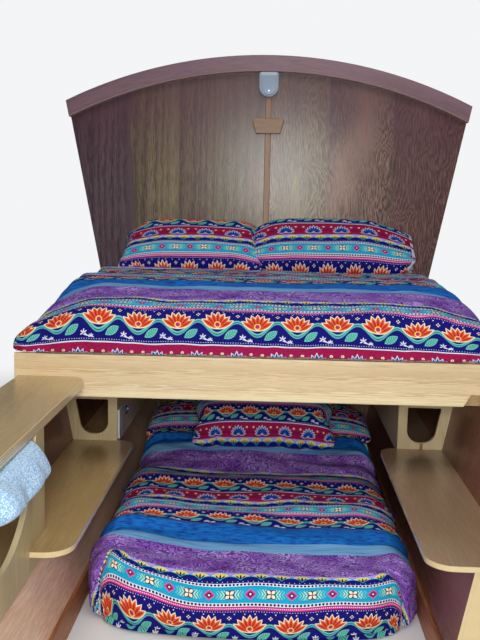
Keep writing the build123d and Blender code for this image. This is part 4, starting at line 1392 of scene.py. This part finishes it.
WINDOW_HALF = 0.043     # of its width
WINDOW_FOOT = 0.050     # how deep its round foot is
sensor_low, sensor_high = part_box("sensor")
sensor_x = (sensor_low.x + sensor_high.x) / 2
foot_angles = [math.pi + step * math.pi / 16 for step in range(17)]
window_outline = [Vector((sensor_x + WINDOW_HALF * math.cos(angle), sensor_low.y,
                          sensor_low.z + 0.062 + WINDOW_FOOT * math.sin(angle))) for angle in foot_angles]
window_outline += [Vector((sensor_x + side, sensor_low.y, sensor_high.z - 0.020))
                   for side in (WINDOW_HALF, -WINDOW_HALF)]
rounded_slab("sensor_window", window_outline, Vector((0, -0.004, 0)),
             moulded("window plastic", "7f93ab", 0.22, 0.6))
small_lamp("sensor_lamp", Vector((sensor_x, sensor_low.y - 0.004, sensor_low.z + 0.036)), 0.0028,
           "e8f2ff")

SOCKET = Vector((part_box("locker_side_left")[1].x, 0.4606, 0.4753))
SOCKET_RADIUS = 0.021
socket_angles = [step * math.pi / 12 for step in range(24)]
socket_outline = [SOCKET + SOCKET_RADIUS * Vector((0, math.cos(angle), math.sin(angle)))
                  for angle in socket_angles]
rounded_slab("charging_socket", socket_outline, Vector((0.008, 0, 0)),
             moulded("dark plastic", "1a1d2b", 0.35, 0.3))
small_lamp("charging_lamp", SOCKET + Vector((0.008, 0, 0.006)), 0.0030, "3f6bff")
print("sensor window", round(2 * WINDOW_HALF * 1000), "mm wide")
print("charging socket", round(2 * SOCKET_RADIUS * 1000), "mm across")

# %% [markdown]
# ## Light and floor
# The real bed is lit through the door behind the viewer, and that light also lies on the
# varnished end wall as a pale patch. A soft lamp behind the camera does both, and a wide
# one above fills the shadows. The floor and the background stay plain and pale, and give
# only a little light of their own, so that the space under the bed stays dark.

# %% Light and floor
BACKDROP = (0.90, 0.91, 0.92, 1)


def soft_lamp(name, place, aim, wide, high, watts):
    """A rectangular lamp turned towards a point."""
    lamp = bpy.data.objects.new(name, bpy.data.lights.new(name, "AREA"))
    lamp.data.shape = "RECTANGLE"
    lamp.data.size, lamp.data.size_y = wide, high
    lamp.data.energy = watts
    heading = (Vector(aim) - Vector(place)).to_track_quat("-Z", "Y")
    lamp.matrix_world = Matrix.Translation(place) @ heading.to_matrix().to_4x4()
    bpy.context.scene.collection.objects.link(lamp)


soft_lamp("door light", (0.1, -4.8, 1.80), (0.0, 0.0, 0.9), 1.0, 1.1, 118)
soft_lamp("top light", (0.2, -1.8, 4.2), (0.0, 0.1, 0.8), 2.6, 2.4, 66)

world = bpy.data.worlds.new("pale room")
bpy.context.scene.world = world
world.use_nodes = True
world.node_tree.nodes.clear()
wires = Wires(world.node_tree)
paths = wires.node("ShaderNodeLightPath").outputs
seen = wires.calc("MAXIMUM", *[Wire(wires, paths[kind]) for kind in ("Is Camera Ray", "Is Transmission Ray")])
shown = wires.out("ShaderNodeBackground", {"Color": BACKDROP, "Strength": 1.0})
dim = wires.out("ShaderNodeBackground", {"Color": (0.93, 0.96, 1.0, 1), "Strength": 0.16})
both = wires.out("ShaderNodeMixShader", {0: seen, 1: dim, 2: shown})
wires.node("ShaderNodeOutputWorld", {"Surface": both})

sheet = bmesh.new()
bmesh.ops.create_grid(sheet, x_segments=1, y_segments=1, size=14)
bmesh.ops.translate(sheet, vec=(0, 0, -0.001), verts=sheet.verts[:])
floor = new_piece("floor", sheet)
pale, wires, shader = new_finish("pale floor", roughness=0.9, specular_ior_level=0.0)
wires.feed(shader, {"Base Color": (0.80, 0.80, 0.79, 1)})
afar = wires.ease(size_of(wires.place()), 2.2, 4.6)
camera_ray = wires.out("ShaderNodeLightPath", leaves="Is Camera Ray")
backdrop = wires.out("ShaderNodeEmission", {"Color": BACKDROP, "Strength": 1.0})
blended = wires.out("ShaderNodeMixShader", {
    0: afar * camera_ray, 1: Wire(wires, shader.outputs[0]), 2: backdrop,
})
wires.feed(pale.node_tree.get_output_node("ALL"), {"Surface": blended})
floor.data.materials.append(pale)
bpy.context.scene.view_settings.view_transform = "Standard"
print("lamps:", [light.name for light in bpy.data.lights])
